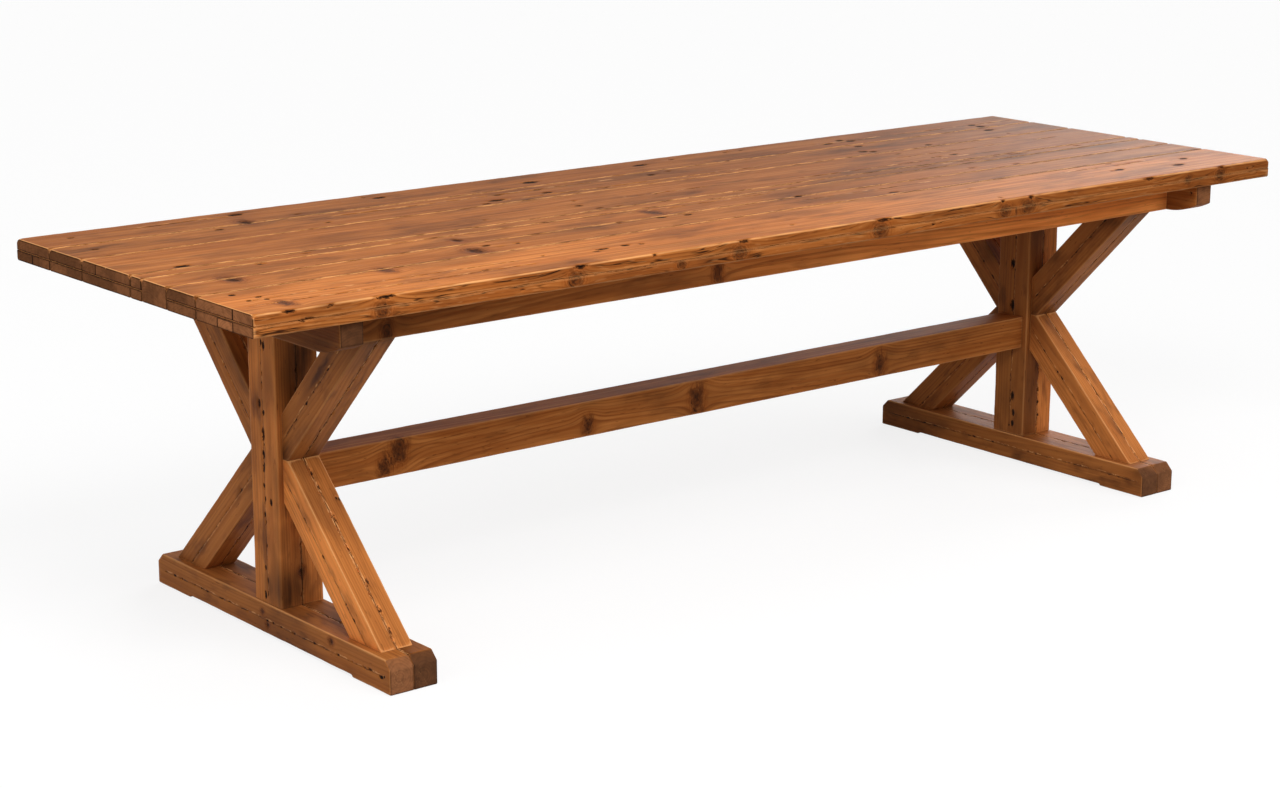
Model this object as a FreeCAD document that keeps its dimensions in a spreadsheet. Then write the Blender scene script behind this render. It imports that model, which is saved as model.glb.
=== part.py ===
import FreeCAD, Part
import os
import Sketcher

# Sawbuck dining table: a boarded top with aprons and bearers under it, carried by two
# trestles that a stretcher ties together. Each trestle is a post between a foot and a
# head beam, with two braces on each side that meet in a crotch at the post.
#
# Millimetres. X runs along the table, Y across it and Z up. The origin is on the floor
# under the middle of the top. Left is -X and front is -Y. Every trestle member is two
# timbers glued side by side: the outer one faces the table's end, the inner one its middle.

SIZES = (
    ("table_length", 2750, "top, end to end"),
    ("table_width", 890, "top, front to back"),
    ("table_height", 760, "floor to the top's surface"),
    ("upper_layer", 22, "thickness of a board's upper lamella"),
    ("lower_layer", 21, "thickness of a board's lower lamella"),
    ("board_1_width", 138, "backmost board"),
    ("board_2_width", 132, "second board"),
    ("board_3_width", 187, "third board"),
    ("board_4_width", 43, "narrow filler strip"),
    ("board_5_width", 91, "fifth board, one solid piece"),
    ("board_6_width", 104, "sixth board; the seventh takes what is left"),
    ("board_arris", 0.8, "bevel on every edge of a lamella"),
    ("rail_height", 66, "depth of the aprons and head beams"),
    ("apron_thickness", 35, "apron, front to back"),
    ("apron_setback", 103, "edge of the top to the apron's face"),
    ("bearer_height", 66, "depth of the end bearers"),
    ("bearer_thickness", 49, "bearer, along the table"),
    ("bearer_setback", 186, "end of the top to the bearer's outer face"),
    ("bearer_end_setback", 16, "edge of the top to the bearer's end"),
    ("bearer_curve_run", 86, "length of the curved relief at a bearer's end"),
    ("bearer_curve_rise", 22, "height of that relief at the end face"),
    ("trestle_setback", 327, "end of the top to the trestle's centre plane"),
    ("foot_length", 864, "foot, front to back"),
    ("foot_height", 66, "foot, floor to its top"),
    ("foot_timber_thickness", 53, "one of the foot's two timbers"),
    ("foot_chamfer", 18, "bevel over the foot's ends"),
    ("foot_pad_length", 128, "part of the foot that stands on the floor at each end"),
    ("foot_relief", 4, "clearance under the foot between those pads"),
    ("post_timber_thickness", 49, "one of the post's two timbers"),
    ("post_depth", 97, "post, front to back"),
    ("post_arris", 4, "bevel on the post's four corners"),
    ("head_timber_thickness", 49, "one of the head beam's two timbers"),
    ("brace_timber_thickness", 36, "one of a brace's two timbers"),
    ("brace_depth", 76, "brace, square across its slope"),
    ("brace_arris", 2.5, "bevel on a brace's outside edges"),
    ("brace_nose", 17.5, "post's side to the crotch where two braces meet"),
    ("brace_crotch_height", 368, "floor to that crotch"),
    ("brace_foot_reach", 378, "trestle's middle to a lower brace's outer corner"),
    ("brace_reveal", 2, "apron's face to an upper brace's outer corner"),
    ("stretcher_width", 72, "stretcher, front to back"),
    ("stretcher_height", 76, "stretcher, bottom to top"),
    ("stretcher_underside", 285, "floor to the stretcher"),
    ("post_tenon_thickness", 25, "post tenon, along the table"),
    ("post_tenon_width", 57, "post tenon, front to back"),
    ("post_tenon_length", 40, "post tenon's reach into foot and head beam"),
    ("stretcher_tenon_width", 24, "stretcher tenon, front to back"),
    ("stretcher_tenon_height", 50, "stretcher tenon, bottom to top"),
    ("stretcher_tenon_length", 38, "stretcher tenon's reach into a post"),
    ("apron_tenon_thickness", 15, "apron tenon, front to back"),
    ("apron_tenon_height", 40, "apron tenon, bottom to top"),
    ("apron_tenon_length", 20, "apron tenon's reach into a bearer"),
    ("joint_gap", 0.25, "clearance round every tenon, dowel and screw shank"),
    ("blind_gap", 1, "clearance past the end of every tenon, dowel and screw"),
    ("dowel_radius", 6, "dowels that hold the braces"),
    ("dowel_bite", 28, "dowel's reach into each of the two pieces it joins"),
    ("screw_radius", 2.5, "shank of the screws that hold the top"),
    ("screw_head_radius", 5, "their countersunk heads"),
    ("screw_head_height", 3, "height of such a head"),
    ("screw_bite", 17, "screw's reach into the top"),
    ("screw_sink", 24, "depth of the counterbore from a rail's underside to the head"),
    ("counterbore_radius", 7, "counterbore that lets a screw in from below"),
    ("bearer_screw_setback", 129, "bearer's end to its outermost screw"),
    ("apron_screw_setback", 440, "bearer to an apron's outermost screw"),
    ("head_screw_setback", 177, "head beam's end to its screw"),
)

# Places that follow from the sizes, each worked out once and used by every piece that
# meets there. Reaches are measured from the table's middle, heights from the floor.
LAYOUT = (
    ("end_x", "Sizes.table_length / 2"),
    ("edge_y", "Sizes.table_width / 2"),
    ("top_underside", "Sizes.table_height - Sizes.upper_layer - Sizes.lower_layer"),
    ("rail_underside", "Layout.top_underside - Sizes.rail_height"),
    ("bearer_underside", "Layout.top_underside - Sizes.bearer_height"),
    ("bearer_outer_x", "Layout.end_x - Sizes.bearer_setback"),
    ("bearer_inner_x", "Layout.bearer_outer_x - Sizes.bearer_thickness"),
    ("bearer_end_y", "Layout.edge_y - Sizes.bearer_end_setback"),
    ("bearer_curve_y", "Layout.bearer_end_y - Sizes.bearer_curve_run"),
    ("apron_face_y", "Layout.edge_y - Sizes.apron_setback"),
    ("apron_back_y", "Layout.apron_face_y - Sizes.apron_thickness"),
    ("apron_middle_y", "Layout.apron_face_y - Sizes.apron_thickness / 2"),
    ("bearer_screw_y", "Layout.bearer_end_y - Sizes.bearer_screw_setback"),
    ("apron_screw_x", "Layout.bearer_inner_x - Sizes.apron_screw_setback"),
    ("head_screw_y", "Layout.apron_back_y - Sizes.head_screw_setback"),
    ("trestle_x", "Layout.end_x - Sizes.trestle_setback"),
    ("foot_end_y", "Sizes.foot_length / 2"),
    ("post_side_y", "Sizes.post_depth / 2"),
    ("crotch_y", "Layout.post_side_y + Sizes.brace_nose"),
    ("head_reach", "Layout.apron_face_y - Sizes.brace_reveal"),
    ("lower_run", "Sizes.brace_foot_reach - Layout.crotch_y"),
    ("lower_rise", "Sizes.brace_crotch_height - Sizes.foot_height"),
    ("lower_slope", "Layout.lower_rise / Layout.lower_run"),
    ("lower_length", "sqrt(Layout.lower_run ^ 2 + Layout.lower_rise ^ 2)"),
    ("lower_level_cut", "Sizes.brace_depth * Layout.lower_length / Layout.lower_rise"),
    ("lower_plumb_cut", "Sizes.brace_depth * Layout.lower_length / Layout.lower_run"),
    ("upper_run", "Layout.head_reach - Layout.crotch_y"),
    ("upper_rise", "Layout.rail_underside - Sizes.brace_crotch_height"),
    ("upper_slope", "Layout.upper_rise / Layout.upper_run"),
    ("upper_length", "sqrt(Layout.upper_run ^ 2 + Layout.upper_rise ^ 2)"),
    ("upper_level_cut", "Sizes.brace_depth * Layout.upper_length / Layout.upper_rise"),
    ("upper_plumb_cut", "Sizes.brace_depth * Layout.upper_length / Layout.upper_run"),
    ("lower_armpit_z",
     "Sizes.brace_crotch_height + Sizes.brace_nose * Layout.lower_slope - Layout.lower_plumb_cut"),
    ("upper_armpit_z",
     "Sizes.brace_crotch_height - Sizes.brace_nose * Layout.upper_slope + Layout.upper_plumb_cut"),
    ("foot_dowel_y",
     "Sizes.brace_foot_reach - (Layout.lower_level_cut + Sizes.dowel_bite / Layout.lower_slope) / 2"),
    ("head_dowel_y",
     "Layout.head_reach - (Layout.upper_level_cut + Sizes.dowel_bite / Layout.upper_slope) / 2"),
    ("lower_dowel_z",
     "(Sizes.brace_crotch_height + Layout.lower_armpit_z - Sizes.dowel_bite * Layout.lower_slope) / 2"),
    ("upper_dowel_z",
     "(Sizes.brace_crotch_height + Layout.upper_armpit_z + Sizes.dowel_bite * Layout.upper_slope) / 2"),
    ("bore_radius", "Sizes.dowel_radius + Sizes.joint_gap"),
    ("bore_depth", "Sizes.dowel_bite + Sizes.blind_gap"),
    ("shank_hole_radius", "Sizes.screw_radius + Sizes.joint_gap"),
    ("pilot_depth", "Sizes.screw_bite + Sizes.blind_gap"),
    ("post_mortise_depth", "Sizes.post_tenon_length + Sizes.blind_gap"),
    ("stretcher_z", "Sizes.stretcher_underside + Sizes.stretcher_height / 2"),
    ("stretcher_end_x", "Layout.trestle_x - Sizes.post_timber_thickness"),
    ("bearer_curve_radius",
     "(Sizes.bearer_curve_run ^ 2 + Sizes.bearer_curve_rise ^ 2) / (2 * Sizes.bearer_curve_rise)"),
)

BOARDS = ("layered", "layered", "layered", "layered", "solid", "layered", "layered")
SIDES = (("left", -1), ("right", 1))
FACES = (("front", -1), ("back", 1))
BEARER_SCREW_COUNT = 6
APRON_SCREW_COUNT = 5
LEAST_CUT_VOLUME = 1.0
SAME_PLACE = 1e-6

doc = FreeCAD.newDocument("sawbuck_table")
sheet = doc.addObject("Spreadsheet::Sheet", "Sizes")
for row, (alias, value, note) in enumerate(SIZES, start=1):
    sheet.set(f"A{row}", note)
    sheet.set(f"B{row}", str(value))
    sheet.setAlias(f"B{row}", alias)
doc.recompute()

layout = doc.addObject("App::VarSet", "Layout")
for place, _ in LAYOUT:
    layout.addProperty("App::PropertyFloat", place, "Places")
for place, formula in LAYOUT:
    layout.setExpression(place, formula)
doc.recompute()

nodes = []


def number(formula):
    """The present value of a formula in the document's sizes and places."""
    value = sheet.evalExpression(str(formula))
    return float(getattr(value, "Value", value))


def signed(sign, formula):
    """The formula on the side of the middle that sign names."""
    return f"{sign} * ({formula})"


def new_body(name):
    """An empty body for one piece, listed for export under its own name."""
    body = doc.addObject("PartDesign::Body", name)
    body.Label = name
    nodes.append(body)
    return body


def new_sketch(body, role, offset):
    """A sketch on one of the body's own planes, moved along that plane's normal."""
    sketch = body.newObject("Sketcher::SketchObject", f"{body.Name}_sketch")
    plane = next(item for item in body.Origin.OriginFeatures if item.Role == role)
    sketch.AttachmentSupport = [(plane, "")]
    sketch.MapMode = "FlatFace"
    sketch.setExpression("AttachmentOffset.Base.z", str(offset))
    return sketch


def pin(sketch, curve, point, across, up):
    """Tie a sketch point to two formulas, measured from the sketch's origin."""
    for kind, formula in (("DistanceX", across), ("DistanceY", up)):
        tie = Sketcher.Constraint(kind, -1, 1, curve, point, number(formula))
        index = sketch.addConstraint(tie)
        sketch.setExpression(f"Constraints[{index}]", str(formula))


def draw_outline(sketch, corners):
    """A closed outline of straight lines through corners given as pairs of formulas."""
    first = sketch.GeometryCount
    count = len(corners)
    spots = [FreeCAD.Vector(number(across), number(up), 0) for across, up in corners]
    for index in range(count):
        sketch.addGeometry(Part.LineSegment(spots[index], spots[(index + 1) % count]))
    for index, (across, up) in enumerate(corners):
        following = first + (index + 1) % count
        sketch.addConstraint(Sketcher.Constraint("Coincident", first + index, 2, following, 1))
        pin(sketch, first + index, 1, across, up)


def draw_rectangle(sketch, low_across, low_up, high_across, high_up):
    """A rectangle between two opposite corners."""
    draw_outline(sketch, ((low_across, low_up), (high_across, low_up),
                          (high_across, high_up), (low_across, high_up)))


def draw_centred(sketch, across, up, width, height):
    """A rectangle round its centre."""
    draw_rectangle(sketch, f"{across} - ({width}) / 2", f"{up} - ({height}) / 2",
                   f"{across} + ({width}) / 2", f"{up} + ({height}) / 2")


def draw_circle(sketch, across, up, radius):
    """A circle with its centre and radius tied to formulas."""
    centre = FreeCAD.Vector(number(across), number(up), 0)
    normal = FreeCAD.Vector(0, 0, 1)
    curve = sketch.addGeometry(Part.Circle(centre, normal, number(radius)))
    pin(sketch, curve, 3, across, up)
    index = sketch.addConstraint(Sketcher.Constraint("Radius", curve, number(radius)))
    sketch.setExpression(f"Constraints[{index}]", str(radius))


def pad(body, sketch, length, along):
    """Add material from the sketch, along its normal (1) or against it (-1)."""
    feature = body.newObject("PartDesign::Pad", f"{body.Name}_pad")
    feature.Profile = sketch
    feature.Reversed = along < 0
    feature.setExpression("Length", str(length))
    body.Tip = feature
    return feature


def pocket(body, sketch, depth, along):
    """Take material away from the sketch, along its normal (1) or against it (-1)."""
    feature = body.newObject("PartDesign::Pocket", f"{body.Name}_pocket")
    feature.Profile = sketch
    feature.Reversed = along > 0
    feature.setExpression("Length", str(depth))
    body.Tip = feature
    return feature


def bevel(body, feature, size, edges=None):
    """Bevel the named edges of the last feature, or all of them."""
    cut = body.newObject("PartDesign::Chamfer", f"{body.Name}_bevel")
    if edges is None:
        cut.Base = (feature, [""])
        cut.UseAllEdges = True
    else:
        cut.Base = (feature, edges)
    cut.setExpression("Size", size)
    body.Tip = cut
    return cut


def spread(count, reach):
    """Formulas for places spread evenly from -reach to reach."""
    return [f"{2 * step - (count - 1)} / {count - 1} * {reach}" for step in range(count)]


def board_edges(index):
    """Formulas for a board's front and back edge; boards count from the back."""
    back = "Layout.edge_y"
    for before in range(1, index):
        back += f" - Sizes.board_{before}_width"
    if index == len(BOARDS):
        return "-Layout.edge_y", back
    return f"{back} - Sizes.board_{index}_width", back


def top_screw_places():
    """Every screw that enters the top from below, as (rail, x, y) formulas."""
    places = []
    for side, out in SIDES:
        bearer_x = signed(out, "Layout.bearer_outer_x - Sizes.bearer_thickness / 2")
        for y in spread(BEARER_SCREW_COUNT, "Layout.bearer_screw_y"):
            places.append((f"{side}_bearer", bearer_x, y))
        for timber, lean in (("outer", out), ("inner", -out)):
            timber_x = f"{signed(out, 'Layout.trestle_x')} + {lean} * Sizes.head_timber_thickness / 2"
            for _, away in FACES:
                places.append((f"{side}_head_{timber}", timber_x, signed(away, "Layout.head_screw_y")))
    for face, away in FACES:
        for x in spread(APRON_SCREW_COUNT, "Layout.apron_screw_x"):
            places.append((f"{face}_apron", x, signed(away, "Layout.apron_middle_y")))
    return places


def drill_for_screws(body, underside):
    """Counterbores and shank holes in a rail, from its underside up."""
    own = [(x, y) for rail, x, y in top_screw_places() if rail == body.Label]
    wells = new_sketch(body, "XY_Plane", underside)
    shanks = new_sketch(body, "XY_Plane", "Layout.top_underside")
    for x, y in own:
        draw_circle(wells, x, y, "Sizes.counterbore_radius")
        draw_circle(shanks, x, y, "Layout.shank_hole_radius")
    pocket(body, wells, "Sizes.screw_sink", 1)
    pocket(body, shanks, f"Layout.top_underside - {underside}", -1)


def make_board(index, build):
    """One board of the top: two lamellae, or one solid piece, with pilot holes below."""
    front, back = board_edges(index)
    seam = "Layout.top_underside + Sizes.lower_layer"
    if build == "solid":
        layers = ((f"top_board_{index}", "Layout.top_underside", "Sizes.table_height"),)
    else:
        layers = ((f"top_board_{index}_lower", "Layout.top_underside", seam),
                  (f"top_board_{index}_upper", seam, "Sizes.table_height"))
    for name, low, high in layers:
        body = new_body(name)
        section = new_sketch(body, "YZ_Plane", "-Layout.end_x")
        draw_rectangle(section, front, low, back, high)
        bevel(body, pad(body, section, "Sizes.table_length", 1), "Sizes.board_arris")
    pilots = [(x, y) for _, x, y in top_screw_places()
              if number(front) < number(y) + number("Layout.shank_hole_radius")
              and number(back) > number(y) - number("Layout.shank_hole_radius")]
    if pilots:
        lowest = next(body for body in nodes if body.Label == layers[0][0])
        holes = new_sketch(lowest, "XY_Plane", "Layout.top_underside")
        for x, y in pilots:
            draw_circle(holes, x, y, "Layout.shank_hole_radius")
        pocket(lowest, holes, "Layout.pilot_depth", 1)


def make_apron(face, away):
    """A long rail between the bearers, with a stub tenon on each end."""
    body = new_body(f"{face}_apron")
    section = new_sketch(body, "YZ_Plane", "-Layout.bearer_inner_x")
    draw_rectangle(section, signed(away, "Layout.apron_back_y"), "Layout.rail_underside",
                   signed(away, "Layout.apron_face_y"), "Layout.top_underside")
    pad(body, section, "2 * Layout.bearer_inner_x", 1)
    tenon = new_sketch(body, "YZ_Plane", "-Layout.bearer_inner_x - Sizes.apron_tenon_length")
    draw_centred(tenon, signed(away, "Layout.apron_middle_y"),
                 "(Layout.rail_underside + Layout.top_underside) / 2",
                 "Sizes.apron_tenon_thickness", "Sizes.apron_tenon_height")
    pad(body, tenon, "2 * Layout.bearer_inner_x + 2 * Sizes.apron_tenon_length", 1)
    drill_for_screws(body, "Layout.rail_underside")


def make_bearer(side, out):
    """A cross rail near the top's end, its lower corners eased by a long curve."""
    body = new_body(f"{side}_bearer")
    face_x = "Layout.bearer_outer_x" if out < 0 else "Layout.bearer_inner_x"
    profile = new_sketch(body, "YZ_Plane", signed(out, face_x))
    end = "Layout.bearer_end_y"
    bend = "Layout.bearer_curve_y"
    low = "Layout.bearer_underside"
    lip = f"{low} + Sizes.bearer_curve_rise"
    top = "Layout.top_underside"
    radius = "Layout.bearer_curve_radius"
    run = (("-" + end, lip), ("-" + end, top), (end, top), (end, lip))
    spots = [FreeCAD.Vector(number(across), number(up), 0) for across, up in run]
    for start, stop in zip(spots, spots[1:]):
        profile.addGeometry(Part.LineSegment(start, stop))
    flat = [FreeCAD.Vector(number(bend), number(low), 0), FreeCAD.Vector(-number(bend), number(low), 0)]
    profile.addGeometry(Part.LineSegment(flat[0], flat[1]))
    half_run = number("Sizes.bearer_curve_run") / 2
    half_rise = half_run ** 2 / (2 * number(radius))
    for spot, corner, away in ((flat[0], spots[3], 1), (flat[1], spots[0], -1)):
        middle = spot + FreeCAD.Vector(away * half_run, half_rise, 0)
        profile.addGeometry(Part.Arc(spot, middle, corner))
    for line, (across, up) in zip((0, 0, 1, 2), run):
        pin(profile, line, 1 if (across, up) == run[0] else 2, across, up)
    pin(profile, 3, 1, bend, low)
    pin(profile, 3, 2, "-" + bend, low)
    for first, second in ((0, 1), (1, 2)):
        profile.addConstraint(Sketcher.Constraint("Coincident", first, 2, second, 1))
    join_arc(profile, 4, (3, 1), (2, 2), radius)
    join_arc(profile, 5, (3, 2), (0, 1), radius)
    pad(body, profile, "Sizes.bearer_thickness", 1)
    mortises = new_sketch(body, "YZ_Plane", signed(out, "Layout.bearer_inner_x"))
    for _, away in FACES:
        draw_centred(mortises, signed(away, "Layout.apron_middle_y"),
                     "(Layout.rail_underside + Layout.top_underside) / 2",
                     "Sizes.apron_tenon_thickness + 2 * Sizes.joint_gap",
                     "Sizes.apron_tenon_height + 2 * Sizes.joint_gap")
    pocket(body, mortises, "Sizes.apron_tenon_length + Sizes.blind_gap", out)
    drill_for_screws(body, low)


def join_arc(sketch, arc, start, stop, radius):
    """Join an arc's ends to two line ends, whichever way round it was drawn, and size it."""
    ends = {point: sketch.getPoint(arc, point) for point in (1, 2)}
    for curve, point in (start, stop):
        target = sketch.getPoint(curve, point)
        nearest = min(ends, key=lambda end: (ends[end] - target).Length)
        sketch.addConstraint(Sketcher.Constraint("Coincident", arc, nearest, curve, point))
    index = sketch.addConstraint(Sketcher.Constraint("Radius", arc, number(radius)))
    sketch.setExpression(f"Constraints[{index}]", radius)


def timber_faces(out, lean, thickness):
    """Formulas for a timber's seam face and free face, and the way from one to the other."""
    seam = signed(out, "Layout.trestle_x")
    return seam, f"{seam} + {lean} * {thickness}"


def make_foot(side, out, timber, lean):
    """One timber of a foot: bevelled ends, two pads, a mortise and two dowel bores."""
    body = new_body(f"{side}_foot_{timber}")
    seam, _ = timber_faces(out, lean, "Sizes.foot_timber_thickness")
    end = "Layout.foot_end_y"
    pad_y = f"({end} - Sizes.foot_pad_length)"
    bevel_y = f"({end} - Sizes.foot_chamfer)"
    bevel_z = "Sizes.foot_height - Sizes.foot_chamfer"
    half = ((pad_y, "Sizes.foot_relief"), (pad_y, "0"), (end, "0"), (end, bevel_z),
            (bevel_y, "Sizes.foot_height"))
    mirrored = tuple(("-" + across, up) for across, up in reversed(half))
    profile = new_sketch(body, "YZ_Plane", seam)
    draw_outline(profile, half + mirrored)
    pad(body, profile, "Sizes.foot_timber_thickness", lean)
    mortise = new_sketch(body, "XY_Plane", "Sizes.foot_height")
    draw_centred(mortise, f"{seam} + {lean} * Sizes.post_timber_thickness / 2", "0",
                 "Sizes.post_tenon_thickness + 2 * Sizes.joint_gap",
                 "Sizes.post_tenon_width + 2 * Sizes.joint_gap")
    pocket(body, mortise, "Layout.post_mortise_depth", -1)
    bores = new_sketch(body, "XY_Plane", "Sizes.foot_height")
    for _, away in FACES:
        draw_circle(bores, f"{seam} + {lean} * Sizes.brace_timber_thickness / 2",
                    signed(away, "Layout.foot_dowel_y"), "Layout.bore_radius")
    pocket(body, bores, "Layout.bore_depth", -1)


def make_head(side, out, timber, lean):
    """One timber of a head beam, between the aprons, mortised and bored from below."""
    body = new_body(f"{side}_head_{timber}")
    seam, _ = timber_faces(out, lean, "Sizes.head_timber_thickness")
    profile = new_sketch(body, "YZ_Plane", seam)
    draw_rectangle(profile, "-Layout.apron_back_y", "Layout.rail_underside",
                   "Layout.apron_back_y", "Layout.top_underside")
    pad(body, profile, "Sizes.head_timber_thickness", lean)
    mortise = new_sketch(body, "XY_Plane", "Layout.rail_underside")
    draw_centred(mortise, f"{seam} + {lean} * Sizes.post_timber_thickness / 2", "0",
                 "Sizes.post_tenon_thickness + 2 * Sizes.joint_gap",
                 "Sizes.post_tenon_width + 2 * Sizes.joint_gap")
    pocket(body, mortise, "Layout.post_mortise_depth", 1)
    bores = new_sketch(body, "XY_Plane", "Layout.rail_underside")
    for _, away in FACES:
        draw_circle(bores, f"{seam} + {lean} * Sizes.brace_timber_thickness / 2",
                    signed(away, "Layout.head_dowel_y"), "Layout.bore_radius")
    pocket(body, bores, "Layout.bore_depth", 1)
    drill_for_screws(body, "Layout.rail_underside")


def make_post(side, out, timber, lean):
    """One timber of a post, tenoned at both ends and bored for the braces' dowels."""
    body = new_body(f"{side}_post_{timber}")
    seam, free = timber_faces(out, lean, "Sizes.post_timber_thickness")
    middle = f"{seam} + {lean} * Sizes.post_timber_thickness / 2"
    eased = f"{free} - {lean} * Sizes.post_arris"
    edge = "Layout.post_side_y"
    section = new_sketch(body, "XY_Plane", "Sizes.foot_height")
    draw_outline(section, ((seam, "-" + edge), (eased, "-" + edge),
                           (free, f"-{edge} + Sizes.post_arris"), (free, f"{edge} - Sizes.post_arris"),
                           (eased, edge), (seam, edge)))
    pad(body, section, "Layout.rail_underside - Sizes.foot_height", 1)
    tenon = new_sketch(body, "XY_Plane", "Sizes.foot_height - Sizes.post_tenon_length")
    draw_centred(tenon, middle, "0", "Sizes.post_tenon_thickness", "Sizes.post_tenon_width")
    pad(body, tenon, "Layout.rail_underside - Sizes.foot_height + 2 * Sizes.post_tenon_length", 1)
    for _, away in FACES:
        bores = new_sketch(body, "XZ_Plane", signed(-away, edge))
        for height in ("Layout.lower_dowel_z", "Layout.upper_dowel_z"):
            draw_circle(bores, f"{seam} + {lean} * Sizes.brace_timber_thickness / 2", height,
                        "Layout.bore_radius")
        pocket(body, bores, "Layout.bore_depth", away)
    if timber == "inner":
        mortise = new_sketch(body, "YZ_Plane", free)
        draw_centred(mortise, "0", "Layout.stretcher_z",
                     "Sizes.stretcher_tenon_width + 2 * Sizes.joint_gap",
                     "Sizes.stretcher_tenon_height + 2 * Sizes.joint_gap")
        pocket(body, mortise, "Sizes.stretcher_tenon_length + Sizes.blind_gap", out)


def brace_corners(level, away):
    """A brace's outline from the crotch round by its far end to the post, as formulas."""
    if level == "lower":
        far = "Sizes.brace_foot_reach"
        far_z = "Sizes.foot_height"
    else:
        far = "Layout.head_reach"
        far_z = "Layout.rail_underside"
    return ((signed(away, "Layout.post_side_y"), "Sizes.brace_crotch_height"),
            (signed(away, "Layout.crotch_y"), "Sizes.brace_crotch_height"),
            (signed(away, far), far_z),
            (signed(away, f"{far} - Layout.{level}_level_cut"), far_z),
            (signed(away, "Layout.post_side_y"), f"Layout.{level}_armpit_z"))


def make_brace(side, out, level, face, away, timber, lean):
    """One timber of a brace between the post and the foot or head beam."""
    body = new_body(f"{side}_{level}_{face}_brace_{timber}")
    seam, free = timber_faces(out, lean, "Sizes.brace_timber_thickness")
    middle = f"{seam} + {lean} * Sizes.brace_timber_thickness / 2"
    profile = new_sketch(body, "YZ_Plane", seam)
    draw_outline(profile, brace_corners(level, away))
    blank = pad(body, profile, "Sizes.brace_timber_thickness", lean)
    doc.recompute()
    bevel(body, blank, "Sizes.brace_arris", sloping_edges(blank.Shape, number(free)))
    far_z = "Sizes.foot_height" if level == "lower" else "Layout.rail_underside"
    far_y = "Layout.foot_dowel_y" if level == "lower" else "Layout.head_dowel_y"
    end_bore = new_sketch(body, "XY_Plane", far_z)
    draw_circle(end_bore, middle, signed(away, far_y), "Layout.bore_radius")
    pocket(body, end_bore, "Layout.bore_depth", 1 if level == "lower" else -1)
    post_bore = new_sketch(body, "XZ_Plane", signed(-away, "Layout.post_side_y"))
    draw_circle(post_bore, middle, f"Layout.{level}_dowel_z", "Layout.bore_radius")
    pocket(body, post_bore, "Layout.bore_depth", -away)


def sloping_edges(shape, face_x):
    """Names of the two sloping edges on the face at face_x."""
    names = []
    for index, edge in enumerate(shape.Edges, start=1):
        start, stop = (vertex.Point for vertex in edge.Vertexes)
        on_face = abs(start.x - face_x) < SAME_PLACE and abs(stop.x - face_x) < SAME_PLACE
        if on_face and abs(start.y - stop.y) > SAME_PLACE and abs(start.z - stop.z) > SAME_PLACE:
            names.append(f"Edge{index}")
    return names


def make_stretcher():
    """The beam between the posts, with a stub tenon in each inner post timber."""
    body = new_body("stretcher")
    section = new_sketch(body, "YZ_Plane", "-Layout.stretcher_end_x")
    draw_centred(section, "0", "Layout.stretcher_z", "Sizes.stretcher_width", "Sizes.stretcher_height")
    pad(body, section, "2 * Layout.stretcher_end_x", 1)
    tenon = new_sketch(body, "YZ_Plane", "-Layout.stretcher_end_x - Sizes.stretcher_tenon_length")
    draw_centred(tenon, "0", "Layout.stretcher_z", "Sizes.stretcher_tenon_width",
                 "Sizes.stretcher_tenon_height")
    pad(body, tenon, "2 * Layout.stretcher_end_x + 2 * Sizes.stretcher_tenon_length", 1)


def place(item, x, y, z):
    """Tie a primitive's place to three formulas."""
    for axis, formula in (("x", x), ("y", y), ("z", z)):
        item.setExpression(f"Placement.Base.{axis}", str(formula))


def group(name, members):
    """One node made of separate, identical fasteners."""
    bundle = doc.addObject("Part::Compound", name)
    bundle.Label = name
    bundle.Links = members
    nodes.append(bundle)


def make_dowel(x, y, z, across):
    """A dowel with its middle on the joint, standing upright or lying across the table."""
    dowel = doc.addObject("Part::Cylinder", "dowel")
    dowel.setExpression("Radius", "Sizes.dowel_radius")
    dowel.setExpression("Height", "2 * Sizes.dowel_bite")
    if across:
        dowel.Placement.Rotation = FreeCAD.Rotation(FreeCAD.Vector(1, 0, 0), -90)
        place(dowel, x, f"{y} - Sizes.dowel_bite", z)
    else:
        place(dowel, x, y, f"{z} - Sizes.dowel_bite")
    return dowel


def make_dowels(side, out):
    """The dowels of one trestle, grouped by what they hold the brace timbers to."""
    to_foot, to_head, to_post = [], [], []
    for lean in (out, -out):
        x = f"{signed(out, 'Layout.trestle_x')} + {lean} * Sizes.brace_timber_thickness / 2"
        for _, away in FACES:
            foot_y = signed(away, "Layout.foot_dowel_y")
            head_y = signed(away, "Layout.head_dowel_y")
            post_y = signed(away, "Layout.post_side_y")
            to_foot.append(make_dowel(x, foot_y, "Sizes.foot_height", False))
            to_head.append(make_dowel(x, head_y, "Layout.rail_underside", False))
            for height in ("Layout.lower_dowel_z", "Layout.upper_dowel_z"):
                to_post.append(make_dowel(x, post_y, height, True))
    group(f"{side}_foot_dowels", to_foot)
    group(f"{side}_head_dowels", to_head)
    group(f"{side}_post_dowels", to_post)


def make_screw(x, y, underside):
    """A countersunk screw, its head at the bottom of a counterbore in a rail."""
    seat = f"{underside} + Sizes.screw_sink"
    shank = doc.addObject("Part::Cylinder", "screw_shank")
    shank.setExpression("Radius", "Sizes.screw_radius")
    shank.setExpression("Height", f"Layout.top_underside + Sizes.screw_bite - ({seat})")
    place(shank, x, y, seat)
    head = doc.addObject("Part::Cylinder", "screw_head")
    head.setExpression("Radius", "Sizes.screw_head_radius")
    head.setExpression("Height", "Sizes.screw_head_height")
    place(head, x, y, f"{seat} - Sizes.screw_head_height")
    screw = doc.addObject("Part::Fuse", "screw")
    screw.Base = head
    screw.Tool = shank
    return screw


def make_screws(name, ending, underside):
    """The screws of all rails whose names end alike."""
    members = [make_screw(x, y, underside) for rail, x, y in top_screw_places() if ending in rail]
    group(name, members)


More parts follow.
